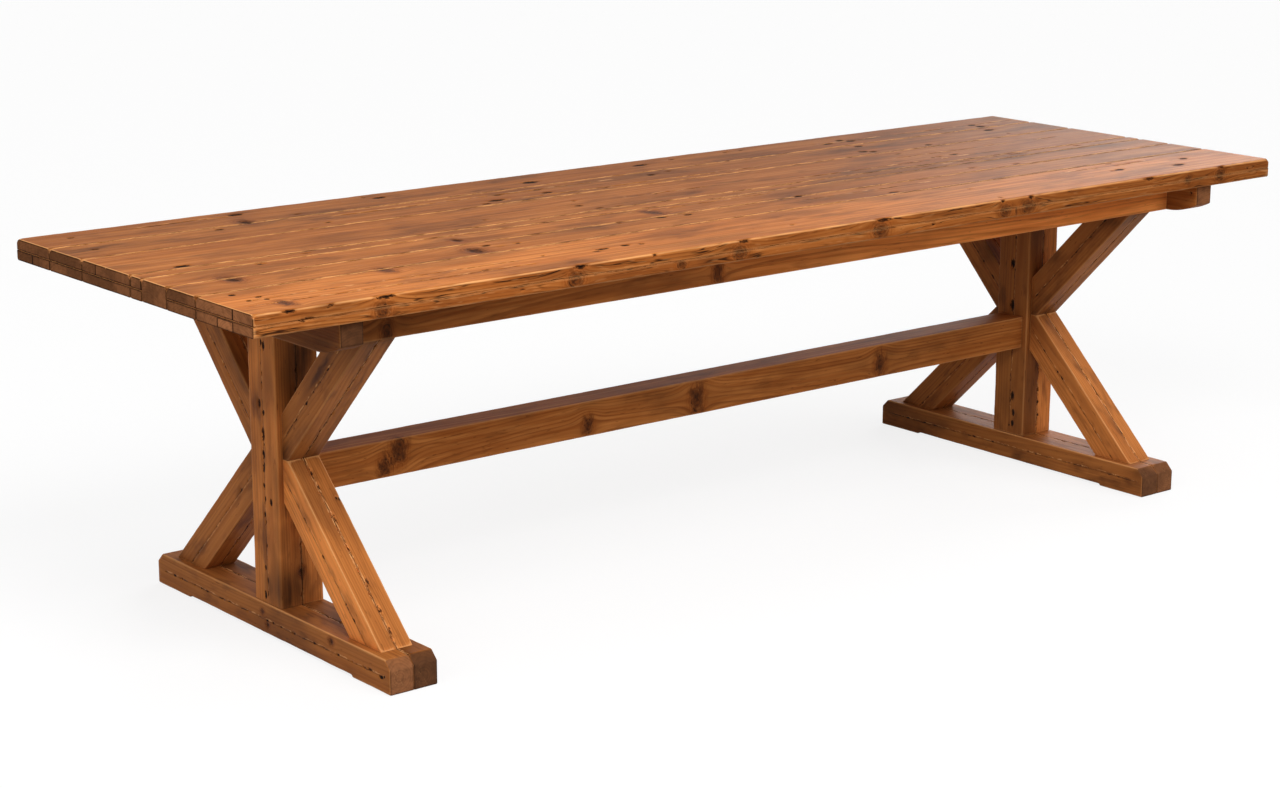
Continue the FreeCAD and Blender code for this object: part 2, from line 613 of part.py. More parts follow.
for board, build in enumerate(BOARDS, start=1):
    make_board(board, build)
for face, away in FACES:
    make_apron(face, away)
for side, out in SIDES:
    make_bearer(side, out)
    for timber, lean in (("outer", out), ("inner", -out)):
        make_foot(side, out, timber, lean)
        make_post(side, out, timber, lean)
        make_head(side, out, timber, lean)
        for level in ("lower", "upper"):
            for face, away in FACES:
                make_brace(side, out, level, face, away, timber, lean)
    make_dowels(side, out)
make_stretcher()
make_screws("bearer_screws", "bearer", "Layout.bearer_underside")
make_screws("head_beam_screws", "head", "Layout.rail_underside")
make_screws("apron_screws", "apron", "Layout.rail_underside")
doc.recompute()

for item in doc.Objects:
    if "Invalid" in item.State or "Error" in item.State:
        raise RuntimeError(f"{item.Label} failed: {item.State}")
    if item.TypeId == "PartDesign::Pocket":
        if item.BaseFeature.Shape.Volume - item.Shape.Volume < LEAST_CUT_VOLUME:
            raise RuntimeError(f"{item.Label} cuts nothing")
for node in nodes:
    if node.Shape.isNull() or not node.Shape.isValid():
        raise RuntimeError(f"{node.Label} has no valid shape")

os.makedirs("parts", exist_ok=True)
for node in nodes:
    node.Shape.exportStep(f"parts/{node.Label}.step")
    print(node.Label, len(node.Shape.Solids), round(node.Shape.Volume))
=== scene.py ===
"""Dresses the V-braced trestle table in worn, stained pine.

Every timber is lofted along its own grain, with worn arrises, knots, pits and checks in its
mesh, and carries its grain as attributes that the finishes read.
"""

import logging
import math
from dataclasses import dataclass, field
from enum import Enum
from itertools import product
from typing import Any, Iterable, Sequence, Union

import bmesh
import bpy
import numpy as np
from mathutils import Matrix, Vector


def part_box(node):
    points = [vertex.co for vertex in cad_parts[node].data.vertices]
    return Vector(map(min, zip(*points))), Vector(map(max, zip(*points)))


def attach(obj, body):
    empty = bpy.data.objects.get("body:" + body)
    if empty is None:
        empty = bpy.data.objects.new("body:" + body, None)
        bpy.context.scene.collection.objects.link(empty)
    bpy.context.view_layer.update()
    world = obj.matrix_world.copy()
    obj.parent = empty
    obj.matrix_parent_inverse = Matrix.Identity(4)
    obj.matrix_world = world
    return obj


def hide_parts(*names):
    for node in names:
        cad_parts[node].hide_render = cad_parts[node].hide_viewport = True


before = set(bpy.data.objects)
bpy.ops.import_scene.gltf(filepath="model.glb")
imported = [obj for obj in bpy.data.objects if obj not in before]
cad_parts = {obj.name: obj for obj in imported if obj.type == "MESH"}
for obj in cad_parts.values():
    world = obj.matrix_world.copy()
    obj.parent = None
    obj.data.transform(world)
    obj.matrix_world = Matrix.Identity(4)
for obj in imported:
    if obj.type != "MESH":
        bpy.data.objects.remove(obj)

LOG = logging.getLogger("table")
MM = 0.001
FRAME_WIDTH = 1280
FRAME_HEIGHT = 788

Colour = tuple[float, float, float]
Triple = tuple[float, float, float]


# ---------------------------------------------------------------- numbers


def paint(red: int, green: int, blue: int) -> Colour:
    """Turns an eight-bit screen colour into the linear colour that a shader takes."""
    parts = (red / 255, green / 255, blue / 255)
    return tuple(c / 12.92 if c <= 0.04045 else ((c + 0.055) / 1.055) ** 2.4 for c in parts)


def hashed(cells: np.ndarray, seed: int) -> np.ndarray:
    """Gives each whole-number cell its own number between 0 and 1.

    Args:
        cells: One row of whole numbers per cell.
        seed: Picks another set of numbers.

    Returns:
        One number per row.
    """
    mixed = np.full(len(cells), seed * 1013904223 + 12345, np.int64)
    for axis, prime in zip(range(cells.shape[1]), (73856093, 19349663, 83492791)):
        mixed = mixed ^ (cells[:, axis] * prime)
    mixed = (mixed ^ (mixed >> 13)) * 1274126177
    mixed = mixed ^ (mixed >> 16)
    return (mixed & 0xFFFF) / 65535.0


def ripple(points: np.ndarray, seed: int) -> np.ndarray:
    """Smooth noise between 0 and 1 with waves about two cells long.

    Args:
        points: One row of coordinates per point, in cells.
        seed: Picks another noise.

    Returns:
        One value per row.
    """
    points = np.atleast_2d(points)
    cell = np.floor(points).astype(np.int64)
    part = points - cell
    ease = part * part * (3 - 2 * part)
    total = np.zeros(len(points))
    for corner in product((0, 1), repeat=points.shape[1]):
        share = np.prod(np.where(np.array(corner), ease, 1 - ease), axis=1)
        total += share * hashed(cell + np.array(corner), seed)
    return total


def wave(along: np.ndarray, pitch: float, seed: int) -> np.ndarray:
    """Smooth noise along a line, between 0 and 1.

    Args:
        along: Distances along the line.
        pitch: Distance from one cell to the next.
        seed: Picks another noise.

    Returns:
        One value per distance.
    """
    return ripple(np.asarray(along, float)[:, None] / pitch, seed)


def thinned(values: Iterable[float], least: float) -> np.ndarray:
    """Sorts numbers and drops any that comes closer than `least` to the one kept before it.

    Args:
        values: The numbers.
        least: The smallest gap to keep.

    Returns:
        The numbers kept, in order.
    """
    kept: list[float] = []
    for value in sorted(values):
        if not kept or value - kept[-1] >= least:
            kept.append(value)
    return np.array(kept)


# ---------------------------------------------------------------- shader bench


class Wire:
    """A socket of a shader tree. Python's operators on it add Math nodes."""

    def __init__(self, bench: "Bench", socket: bpy.types.NodeSocket) -> None:
        """Keeps the tree and the socket."""
        self.bench = bench
        self.socket = socket

    def maths(self, operation: str, *others: "Value") -> "Wire":
        """Adds a Math node with this wire in its first socket."""
        wires = dict(enumerate((self, *others)))
        return self.bench.node("ShaderNodeMath", {"operation": operation}, wires)

    def __add__(self, other: "Value") -> "Wire":
        """Adds."""
        return self.maths("ADD", other)

    __radd__ = __add__

    def __sub__(self, other: "Value") -> "Wire":
        """Takes away."""
        return self.maths("SUBTRACT", other)

    def __rsub__(self, other: float) -> "Wire":
        """Takes this wire away from a number."""
        return self.bench.node("ShaderNodeMath", {"operation": "SUBTRACT"}, {0: other, 1: self})

    def __mul__(self, other: "Value") -> "Wire":
        """Multiplies."""
        return self.maths("MULTIPLY", other)

    __rmul__ = __mul__

    def __truediv__(self, other: "Value") -> "Wire":
        """Divides."""
        return self.maths("DIVIDE", other)

    def __abs__(self) -> "Wire":
        """Drops the sign."""
        return self.maths("ABSOLUTE")

    def most(self, other: "Value") -> "Wire":
        """The larger of two values."""
        return self.maths("MAXIMUM", other)

    def rise(self, low: float, high: float) -> "Wire":
        """Climbs smoothly from 0 at `low` to 1 at `high`."""
        settings = {"interpolation_type": "SMOOTHSTEP"}
        return self.bench.node("ShaderNodeMapRange", settings, {0: self, 1: low, 2: high})

    def fall(self, low: float, high: float) -> "Wire":
        """Drops smoothly from 1 at `low` to 0 at `high`."""
        settings = {"interpolation_type": "SMOOTHSTEP"}
        wires = {0: self, 1: low, 2: high, 3: 1.0, 4: 0.0}
        return self.bench.node("ShaderNodeMapRange", settings, wires)

    def stretched(self, by: Triple) -> "Wire":
        """Multiplies a vector axis by axis."""
        settings = {"operation": "MULTIPLY"}
        return self.bench.node("ShaderNodeVectorMath", settings, {0: self, 1: by})

    def moved(self, by: Union["Wire", Triple]) -> "Wire":
        """Adds to a vector."""
        return self.bench.node("ShaderNodeVectorMath", {"operation": "ADD"}, {0: self, 1: by})

    def length(self) -> "Wire":
        """A vector's length."""
        return self.bench.node("ShaderNodeVectorMath", {"operation": "LENGTH"}, {0: self}, 1)

    def split(self) -> tuple["Wire", "Wire", "Wire"]:
        """A vector's three numbers."""
        first = self.bench.node("ShaderNodeSeparateXYZ", {}, {0: self})
        outs = first.socket.node.outputs
        return first, Wire(self.bench, outs[1]), Wire(self.bench, outs[2])


Value = Union[Wire, float]


class Bench:
    """One material's or world's node tree, with the node types that the finishes use."""

    def __init__(self, tree: bpy.types.NodeTree) -> None:
        """Clears the tree."""
        self.tree = tree
        tree.nodes.clear()

    def node(
        self, kind: str, settings: dict[str, Any], wires: dict[Any, Any], out: int = 0
    ) -> Wire:
        """Adds a node, sets it, then fills its sockets.

        Args:
            kind: The node's type.
            settings: The node's own settings, set before its sockets.
            wires: A value or a wire for each socket, by number or name.
            out: The number of the output to return.

        Returns:
            The chosen output.
        """
        made = self.tree.nodes.new(kind)
        for name, value in settings.items():
            setattr(made, name, value)
        for key, value in wires.items():
            socket = made.inputs[key]
            if isinstance(value, Wire):
                self.tree.links.new(value.socket, socket)
            elif socket.type == "RGBA" and len(value) == 3:
                socket.default_value = (*value, 1.0)
            else:
                socket.default_value = value
        return Wire(self, made.outputs[out])

    def carried(self, name: str) -> Wire:
        """Reads a vector that the mesh carries."""
        return self.node("ShaderNodeAttribute", {"attribute_name": name}, {}, 1)

    def carried_number(self, name: str) -> Wire:
        """Reads a number that the mesh carries."""
        return self.node("ShaderNodeAttribute", {"attribute_name": name}, {}, 2)

    def noise(self, where: Wire, detail: float = 2.0, rough: float = 0.5) -> Wire:
        """Noise between 0 and 1, with waves about one unit long."""
        wires = {"Vector": where, "Scale": 1.0, "Detail": detail, "Roughness": rough}
        return self.node("ShaderNodeTexNoise", {"noise_dimensions": "3D"}, wires)

    def joined(self, first: Value, second: Value) -> Wire:
        """A vector of two values."""
        return self.node("ShaderNodeCombineXYZ", {}, {0: first, 1: second})

    def mix(
        self, first: Union[Wire, Colour], second: Union[Wire, Colour], share: Value
    ) -> Wire:
        """Mixes two colours.

        Args:
            first: The colour at share 0.
            second: The colour at share 1.
            share: How much of the second.

        Returns:
            The mixed colour.
        """
        settings = {"data_type": "RGBA", "clamp_factor": True}
        return self.node("ShaderNodeMix", settings, {0: share, 6: first, 7: second}, 2)

    def finish(self, kind: str, shader: Wire) -> None:
        """Joins a shader to a new output node of that type."""
        made = self.tree.nodes.new(kind)
        self.tree.links.new(shader.socket, made.inputs[0])

    def surface(self, wires: dict[str, Any]) -> None:
        """Gives a material a Principled shader with these sockets filled."""
        shader = self.node("ShaderNodeBsdfPrincipled", {}, wires)
        self.finish("ShaderNodeOutputMaterial", shader)


def new_material(name: str) -> tuple[bpy.types.Material, Bench]:
    """Makes a material and the bench for its node tree."""
    material = bpy.data.materials.new(name)
    material.use_nodes = True
    return material, Bench(material.node_tree)


def new_object(name: str, data: bpy.types.ID) -> bpy.types.Object:
    """Makes an object of a mesh, camera or lamp and links it to the scene."""
    made = bpy.data.objects.new(name, data)
    bpy.context.scene.collection.objects.link(made)
    return made


# ---------------------------------------------------------------- finishes


@dataclass
class Grain:
    """The wires that every part of a pine finish reads."""

    bench: Bench

    def __post_init__(self) -> None:
        """Reads what the timbers carry and makes the noises that more than one part uses."""
        bench = self.bench
        self.place = bench.carried("grain")
        self.run, self.side_v, self.side_w = self.place.split()
        knot_x, knot_y, self.knot_near = bench.carried("knot").split()
        self.knot_at = bench.joined(knot_x, knot_y)
        self.off_check, self.check_here, self.off_seam = bench.carried("line").split()
        end, self.side, self.tone = bench.carried("lay").split()
        self.end = end.rise(0.35, 0.8)
        self.block_x, self.block_y, self.block_tone = bench.carried("block").split()
        self.pit = bench.carried_number("pit")
        self.stain_and_shade = bench.carried_number("stain_and_shade")
        self.rim = bench.carried_number("rim")
        self.across = self.place.stretched((0, 1000, 1000)).length()
        self.streak = self.noise((1.5, 105, 105), 3.0, 0.6)
        self.fibre = self.noise((14, 620, 620), 2.0, 0.6)
        self.cloud = self.noise((3.2, 10, 10), 3.0, 0.55, (7, 3, 1))
        self.rag = self.noise((120, 120, 120), 1.0)

    def noise(
        self, scale: Triple, detail: float, rough: float = 0.5, offset: Triple = (0, 0, 0)
    ) -> Wire:
        """Noise that is stretched along the grain.

        Args:
            scale: Waves to the metre along the grain and across it both ways.
            detail: How many finer noises are added.
            rough: How strong the finer noises are.
            offset: Moves it away from other noises.

        Returns:
            The noise.
        """
        return self.bench.noise(self.place.stretched(scale).moved(offset), detail, rough)


@dataclass(frozen=True)
class PineFinish:
    """Stained and waxed pine, read from the grain that each timber carries, with painted highlights and
    painted light and shade laid over it.

    The colours are linear; gaps and widths are in millimetres unless named otherwise.
    """

    name: str
    pale: Colour = paint(208, 131, 66)
    honey: Colour = paint(172, 97, 42)
    late: Colour = paint(120, 62, 25)
    stain: Colour = paint(90, 49, 26)
    knot: Colour = paint(84, 45, 22)
    knot_rim: Colour = paint(54, 29, 15)
    halo: Colour = paint(148, 78, 30)
    crack: Colour = paint(24, 14, 9)
    # pale worn wood and painted highlight: it lights the arrises and check lips, and also paints the
    # pale fibres, knot rings and end-grain star
    pale_and_highlight: Colour = paint(238, 172, 110)
    end_pale: Colour = paint(166, 107, 68)
    end_dark: Colour = paint(88, 55, 35)
    ring_gap: float = 5.2
    ring_depth: float = 0.34
    side_depth: float = 0.3
    side_shade: float = 0.0
    side_cracks: float = 0.25
    side_flecks: float = 0.0
    ridge_light: float = 0.35
    end_outline: float = 0.55
    knot_flame: float = 0.5
    streak_depth: float = 0.75
    beat: float = 34.0
    stain_depth: float = 0.6
    mottle_depth: float = 0.45
    fleck_depth: float = 0.6
    wear_highlight_depth: float = 0.55
    wear_run: float = 0.0
    gap_width: float = 0.9
    seam_dark: float = 0.8
    seam_light: float = 0.8
    line_scale: float = 1.0
    knot_ragged: float = 0.7
    roughness: float = 0.46
    gloss: float = 0.045
    side_wear: float = 1.0
    wear_from: float = -1.0
    relief: float = 0.6

    def make(self) -> bpy.types.Material:
        """Builds the material."""
        material, bench = new_material(self.name)
        grain = Grain(bench)
        late = self.rings(grain)
        colour = bench.mix(self.long_grain(grain, late), self.end_grain(grain, late), grain.end)
        colour = self.knots(grain, colour)
        # the carried tone, which holds painted light and shade
        colour = bench.node("ShaderNodeHueSaturation", {}, {"Value": grain.tone, "Color": colour})
        colour = self.wear_and_light(grain, colour)
        height = late * 0.5 + grain.streak * 0.35 + grain.fibre * 0.4
        bump_wires = {"Strength": 0.55, "Distance": self.relief * MM, "Height": height}
        normal = bench.node("ShaderNodeBump", {}, bump_wires)
        wires = {
            "Base Color": colour,
            "Roughness": grain.fibre * 0.14 + self.roughness + grain.end * 0.2 + grain.pit * 0.2,
            "IOR": 1.46,
            "Specular IOR Level": self.gloss,
            "Normal": normal,
        }
        bench.surface(wires)
        return material

    def rings(self, grain: Grain) -> Wire:
        """The dark late wood of the yearly rings, from 0 to 1."""
        drift = grain.noise((1.6, 11, 11), 2.0)
        ramble = grain.noise((7, 60, 60), 2.0)
        phase = (grain.across + drift * 16 + ramble * 2.4) / self.ring_gap
        ring = phase.maths("FRACT")
        stout = grain.bench.noise(grain.bench.joined(phase * 0.9, 3.0), 0.0)
        return ring.rise(0.25, 0.86) * ring.fall(0.88, 1.0) * stout.rise(0.2, 0.75)

    def long_grain(self, grain: Grain, late: Wire) -> Wire:
        """The colour of the long faces."""
        bench = grain.bench
        blush = grain.noise((3.5, 26, 26), 2.0, 0.5, (1, 9, 4))
        mottle = grain.noise((8, 24, 24), 3.0, 0.55, (3, 1, 6))
        light = grain.streak.rise(0.36, 0.68) * self.streak_depth + grain.fibre * 0.25
        colour = bench.mix(self.honey, self.pale, light)
        colour = bench.mix(colour, self.late, late * (grain.side * self.side_depth + self.ring_depth))
        colour = bench.mix(colour, self.halo, blush.rise(0.5, 0.72) * 0.4)
        dull = grain.cloud.rise(0.47, 0.7) * 0.75 + mottle.rise(0.52, 0.72) * self.mottle_depth
        colour = bench.mix(colour, self.stain, dull * (grain.streak * 0.5 + 0.65) * self.stain_depth)
        colour = bench.mix(colour, self.late, grain.side * self.side_shade)
        crease = abs(grain.noise((5, 95, 95), 2.0, 0.5, (7, 2, 3)) - 0.5).fall(0.004, 0.03)
        crease = crease * grain.noise((6, 60, 60), 1.0, 0.5, (2, 2, 9)).rise(0.41, 0.56)
        colour = bench.mix(colour, self.knot_rim, crease * grain.side * self.side_cracks)
        splinter = grain.noise((26, 240, 240), 1.0, 0.5, (9, 5, 1)).rise(0.6, 0.7)
        colour = bench.mix(colour, self.pale_and_highlight, splinter * grain.side * self.side_flecks)
        fleck = grain.noise((38, 300, 300), 1.0, 0.5, (2, 5, 8)).rise(0.71, 0.77)
        return bench.mix(colour, self.knot, fleck * self.fleck_depth)

    def end_grain(self, grain: Grain, late: Wire) -> Wire:
        """The colour of the sawn ends, with rays out of the pith and glued-in blocks."""
        bench = grain.bench
        rays = grain.noise((3, 95, 95), 2.0, 0.5, (4, 4, 2))
        turn = grain.side_w.maths("ARCTAN2", grain.side_v)
        star = bench.noise(bench.joined(turn * 3.1, grain.across * 0.02), 2.0).rise(0.54, 0.7)
        dark = late * 0.25 + grain.fibre * 0.15 + rays.rise(0.35, 0.75) * 0.35
        colour = bench.mix(self.end_pale, self.end_dark, dark)
        colour = bench.mix(colour, self.end_dark, grain.cloud.rise(0.42, 0.62) * 0.5)
        colour = bench.mix(colour, self.pale_and_highlight, star * grain.across.fall(5.0, 30.0) * 0.16)
        inset = abs(grain.block_x).most(abs(grain.block_y))
        glued = {"Value": inset.fall(0.97, 1.03) * grain.block_tone + 1.0, "Color": colour}
        colour = bench.node("ShaderNodeHueSaturation", {}, glued)
        outline = inset.rise(0.9, 0.98) * inset.fall(1.02, 1.1) * abs(grain.block_tone).rise(0.0, 0.05)
        # a dark line round each end face: the joints between the glued boards, and painted shade where
        # the end's arrises round over
        rim = (grain.rim + (grain.rag - 0.5) * 2).fall(0.6, 4.0) * self.end_outline
        return bench.mix(colour, self.crack, outline.most(rim))

    def knots(self, grain: Grain, colour: Wire) -> Wire:
        """Lays the knots over a colour, with the grain that swirls round them."""
        bench = grain.bench
        where = grain.knot_at.stretched((1.7, 1.7, 0)).moved(grain.place.stretched((9, 0, 0)))
        uneven = bench.noise(where, 3.0, 0.6)
        away = grain.knot_at.length() + (uneven - 0.5) * self.knot_ragged
        here = grain.knot_near.rise(0.2, 0.6)
        aura = away.fall(0.8, 2.6) * here
        swirl = ((away * 15 + uneven * 6).maths("SINE") * 0.5 + 0.5).rise(0.3, 0.95)
        colour = bench.mix(colour, self.halo, aura * 0.75)
        colour = bench.mix(colour, self.late, aura * swirl * 0.75)
        colour = bench.mix(colour, self.pale_and_highlight, away.fall(0.9, 1.6) * here * swirl.fall(0.1, 0.4) * 0.12)
        smoke = away.fall(0.3, 1.6) * uneven.rise(0.4, 0.62) * here
        colour = bench.mix(colour, self.knot, smoke * 0.8)
        outwards = bench.node("ShaderNodeVectorMath", {"operation": "NORMALIZE"}, {0: grain.knot_at})
        bent = outwards.stretched((1.15, 1.15, 0)).moved(bench.joined(away * 0.35, away * -0.25))
        flame = bench.noise(bent.moved(grain.place.stretched((1.5, 0, 0))), 1.0).rise(0.46, 0.64)
        flame = flame * away.fall(0.9, 2.7) * here
        colour = bench.mix(colour, self.knot, flame * self.knot_flame)
        heart = bench.mix(self.knot, self.late, swirl * 0.7)
        heart = bench.mix(heart, self.knot_rim, uneven.rise(0.5, 0.62) * 0.85)
        colour = bench.mix(colour, heart, away.fall(0.55, 0.95) * here * 0.9)
        rim = away.rise(0.74, 0.92) * away.fall(0.95, 1.14) * uneven.fall(0.38, 0.6) * here
        return bench.mix(colour, self.knot_rim, rim * 0.95)

    def wear_and_light(self, grain: Grain, colour: Wire) -> Wire:
        """Lays worn arrises with painted highlights, open checks with painted highlights on their lips,
        stains with painted shade, and holes over a colour.
        """
        bench = grain.bench
        beat = bench.noise(bench.joined(grain.run * self.beat, grain.side * 5), 2.0, 0.6)
        slow = bench.noise(bench.joined(grain.run * 8, 8.0), 1.0)
        blotch = grain.noise((110, 330, 330), 2.0, 0.65, (5, 5, 5))
        facing = bench.node("ShaderNodeNewGeometry", {}, {}, 1)
        # how far a face turns up, for painted highlights that are stronger where light falls from above
        lit_from_above = facing.split()[2].rise(0.1, 0.7)
        long_face = 1 - grain.end
        ragged = grain.off_check / self.line_scale + (grain.rag - 0.5) * 1.4
        # painted highlight on the lip beside a check, where its wall catches the light
        lip_highlight = ragged.rise(0.2, 1.0) * ragged.fall(2.4, 3.8) * grain.check_here
        groove = abs(ragged).fall(0.5, 1.6) * grain.check_here
        colour = bench.mix(colour, self.pale_and_highlight, lip_highlight * beat.fall(0.39, 0.48) * self.seam_light)
        dark = beat.rise(0.53, 0.6) * 0.7 + 0.3
        colour = bench.mix(colour, self.crack, groove * dark * self.seam_dark)
        near = grain.off_seam / self.line_scale + (grain.rag - 0.5) * 1.6
        # painted highlight: dashes along the worn seam arrises, stronger where they turn up to the light
        bright = (beat - self.wear_run * 0.5).fall(0.43, 0.53) * (lit_from_above * 0.5 + 0.5)
        bright = bright * (slow + self.wear_run).rise(0.32, 0.52)
        # painted highlight along the rounded outer arrises, away from the seams, stronger where they
        # turn up
        ridge_highlight = (grain.rim + (slow - 0.5) * 4).fall(1.5, 4.5) * grain.off_seam.rise(5.0, 9.0)
        ridge_highlight = ridge_highlight * long_face * (lit_from_above * 0.6 + 0.4)
        colour = bench.mix(colour, self.pale_and_highlight, ridge_highlight * self.ridge_light)
        # a band beside each seam, pale with wear and painted highlight
        wear_and_highlight = near.fall(1.8, 3.0) * near.rise(self.wear_from, self.wear_from + 0.6)
        shown = (grain.side * (self.side_wear - 1) + 1) * long_face
        colour = bench.mix(colour, self.pale_and_highlight, wear_and_highlight * shown * bright * self.wear_highlight_depth)
        gap = (beat - self.wear_run * 0.3).rise(0.47, 0.55) * slow.fall(0.55, 0.75)
        gap = gap * near.fall(self.gap_width, self.gap_width + 1.3)
        gap = gap * (shown * 0.6 + long_face * 0.4)
        colour = bench.mix(colour, self.crack, gap * self.seam_dark)
        # stains, and painted shade near the joints and in the shaded parts of the trestles
        colour = bench.mix(colour, self.knot_rim, grain.stain_and_shade * (grain.streak * 0.7 + 0.55))
        hole = (grain.pit + (blotch - 0.5) * 1.5).rise(0.4, 0.62) * grain.pit.rise(0.03, 0.15)
        colour = bench.mix(colour, self.knot_rim, hole * 0.85)
        return bench.mix(colour, self.crack, (grain.pit + (blotch - 0.5) * 1.2).rise(0.66, 1.0))


@dataclass(frozen=True)
class DowelFinish:
    """Turned beech for the dowels inside the joints."""

    name: str = "turned_beech"
    pale: Colour = paint(206, 166, 118)
    brown: Colour = paint(158, 112, 70)

    def make(self) -> bpy.types.Material:
        """Builds the material."""
        material, bench = new_material(self.name)
        place = bench.node("ShaderNodeTexCoord", {}, {}, 3)
        streak = bench.noise(place.stretched((700, 700, 40)), 3.0)
        fleck = bench.noise(place.stretched((1500, 1500, 300)), 1.0)
        colour = bench.mix(self.pale, self.brown, streak.rise(0.35, 0.7))
        colour = bench.mix(colour, self.brown, fleck.rise(0.62, 0.7) * 0.7)
        normal = bench.node("ShaderNodeBump", {}, {"Distance": 0.0003, "Height": streak})
        wires = {"Base Color": colour, "Roughness": streak * 0.2 + 0.5, "Normal": normal}
        bench.surface(wires)
        return material


@dataclass(frozen=True)
class ScrewFinish:
    """Zinc-plated steel, scuffed by the driver."""

    name: str = "zinc_plated_steel"
    bright: Colour = paint(196, 194, 186)
    dull: Colour = paint(128, 126, 120)

    def make(self) -> bpy.types.Material:
        """Builds the material."""
        material, bench = new_material(self.name)
        place = bench.node("ShaderNodeTexCoord", {}, {}, 3)
        mottle = bench.noise(place.stretched((900, 900, 900)), 3.0)
        scuff = bench.noise(place.stretched((4200, 600, 900)), 2.0)
        colour = bench.mix(self.bright, self.dull, mottle.rise(0.35, 0.7))
        normal = bench.node("ShaderNodeBump", {}, {"Distance": 0.0001, "Height": scuff})
        wires = {
            "Base Color": colour,
            "Metallic": 0.92,
            "Roughness": scuff * 0.3 + 0.28,
            "Normal": normal,
        }
        bench.surface(wires)
        return material


# ---------------------------------------------------------------- sighting


@dataclass(frozen=True)
class Sight:
    """A place in the picture frame, `across` and `down` from its top left corner."""

    across: float
    down: float


@dataclass(frozen=True)
class Eye:
    """The camera: where it stands, which way it looks and its focal length in frame widths."""

    place: Triple = (-3.680, -4.330, 1.749)
    yaw: float = 0.6828
    pitch: float = -0.2467
    roll: float = 0.0035
    focal: float = 2673.8 / FRAME_WIDTH
    sensor: float = 36.0

    def axes(self) -> tuple[Vector, Vector, Vector]:
        """Right, up and forward of the picture."""
        level = math.cos(self.pitch)
        ahead = Vector((math.sin(self.yaw) * level, math.cos(self.yaw) * level, math.sin(self.pitch)))
        flat = Vector((math.cos(self.yaw), -math.sin(self.yaw), 0))
        top = flat.cross(ahead)
        right = flat * math.cos(self.roll) + top * math.sin(self.roll)
        up = top * math.cos(self.roll) - flat * math.sin(self.roll)
        return right, up, ahead

    def ray(self, sight: Sight) -> tuple[np.ndarray, np.ndarray]:
        """The line of sight through a place in the frame, as a point and a direction."""
        right, up, ahead = self.axes()
        focal = self.focal * FRAME_WIDTH
        aside = (sight.across - FRAME_WIDTH / 2) / focal
        rise = (FRAME_HEIGHT / 2 - sight.down) / focal
        line = (ahead + right * aside + up * rise).normalized()
        return np.array(self.place), np.array(line)

    def build(self) -> None:
        """Makes the camera and gives it to the scene."""
        right, up, ahead = self.axes()
        data = bpy.data.cameras.new("eye")
        data.sensor_fit = "HORIZONTAL"
        data.sensor_width = self.sensor
        data.lens = self.focal * self.sensor
        data.clip_end = 200
        camera = new_object("eye", data)
        turn = Matrix((right, up, -ahead)).transposed()
        camera.matrix_world = Matrix.Translation(self.place) @ turn.to_4x4()
        bpy.context.scene.camera = camera


# ---------------------------------------------------------------- marks in the wood


class Face(Enum):
    """The four long faces of a timber, in the order that its section meets them."""

    UNDER = 0
    BACK = 1
    OVER = 2
    FRONT = 3


@dataclass(frozen=True)
class Knot:
    """A branch that comes out of a face at `at`, a local point, and runs in along `axis`."""

    at: Triple
    axis: int
    radius: float
    wide: float
    hollow: float = 0.0
    reach: float = 1.0


@dataclass(frozen=True)
class Pit:
    """A hole, dent or chip: its local place, half length, half width, depth and darkness."""

    at: Triple
    long: float
    wide: float
    deep: float
    dark: float = 1.0


@dataclass(frozen=True)
class Check:
    """A split that follows the grain on one face, at `place` across it, from `start` to `stop`."""

    face: Face
    place: float
    start: float
    stop: float
    strength: float = 1.0
    deep: float = 0.9
    sway: float = 1.5


@dataclass(frozen=True)
class StainAndShade:
    """A dark cloud that fades out, used for stains and for painted shade: its local place, half length,
    half width and darkness.
    """

    at: Triple
    long: float
    wide: float
    dark: float


Mark = Union[Knot, Pit, Check, StainAndShade]


class Kind(Enum):
    """The marks that are placed by sight."""

    KNOT = "knot"
    PIT = "pit"
    STAIN_AND_SHADE = "stain"


@dataclass(frozen=True)
class Seen:
    """A mark placed by sight: what it is, where it shows, its half length and half width.

    A knot's `deep` is how hollow it is, from 0 to 1; a pit's is its depth in millimetres.
    """

    kind: Kind
    across: float
    down: float
    long: float
    wide: float = 2.5
    deep: float = 2.0
    dark: float = 1.0


# ---------------------------------------------------------------- one timber

ROW_GAP = 1.1 * MM
COLUMN_GAP = 1.3 * MM
COLUMN_PITCH = 0.016
KNOT_ROWS = (0.15, 0.5, 0.85, 1.2, 1.8, 2.6, 3.5, 4.6, 6.0)
MARK_ROWS = (-1.3, -0.8, -0.35, 0, 0.35, 0.8, 1.3)
MARK_COLUMNS = (-2, -1.2, -0.8, -0.4, 0, 0.4, 0.8, 1.2, 2)
CHECK_COLUMNS = (-3.4, -2, -0.9, 0, 0.9, 2, 3.4)
CORNER_SIGNS = ((1, -1), (1, 1), (-1, 1), (-1, -1))
SAME_SPOT = 0.003 * MM
SMOOTH_ANGLE = math.radians(42)
RAIL_UNDERSIDE = 0.651
COUNTERBORE_RADIUS = 7 * MM
COUNTERBORE_DEPTH = 24 * MM
COUNTERBORE_SIDES = 24


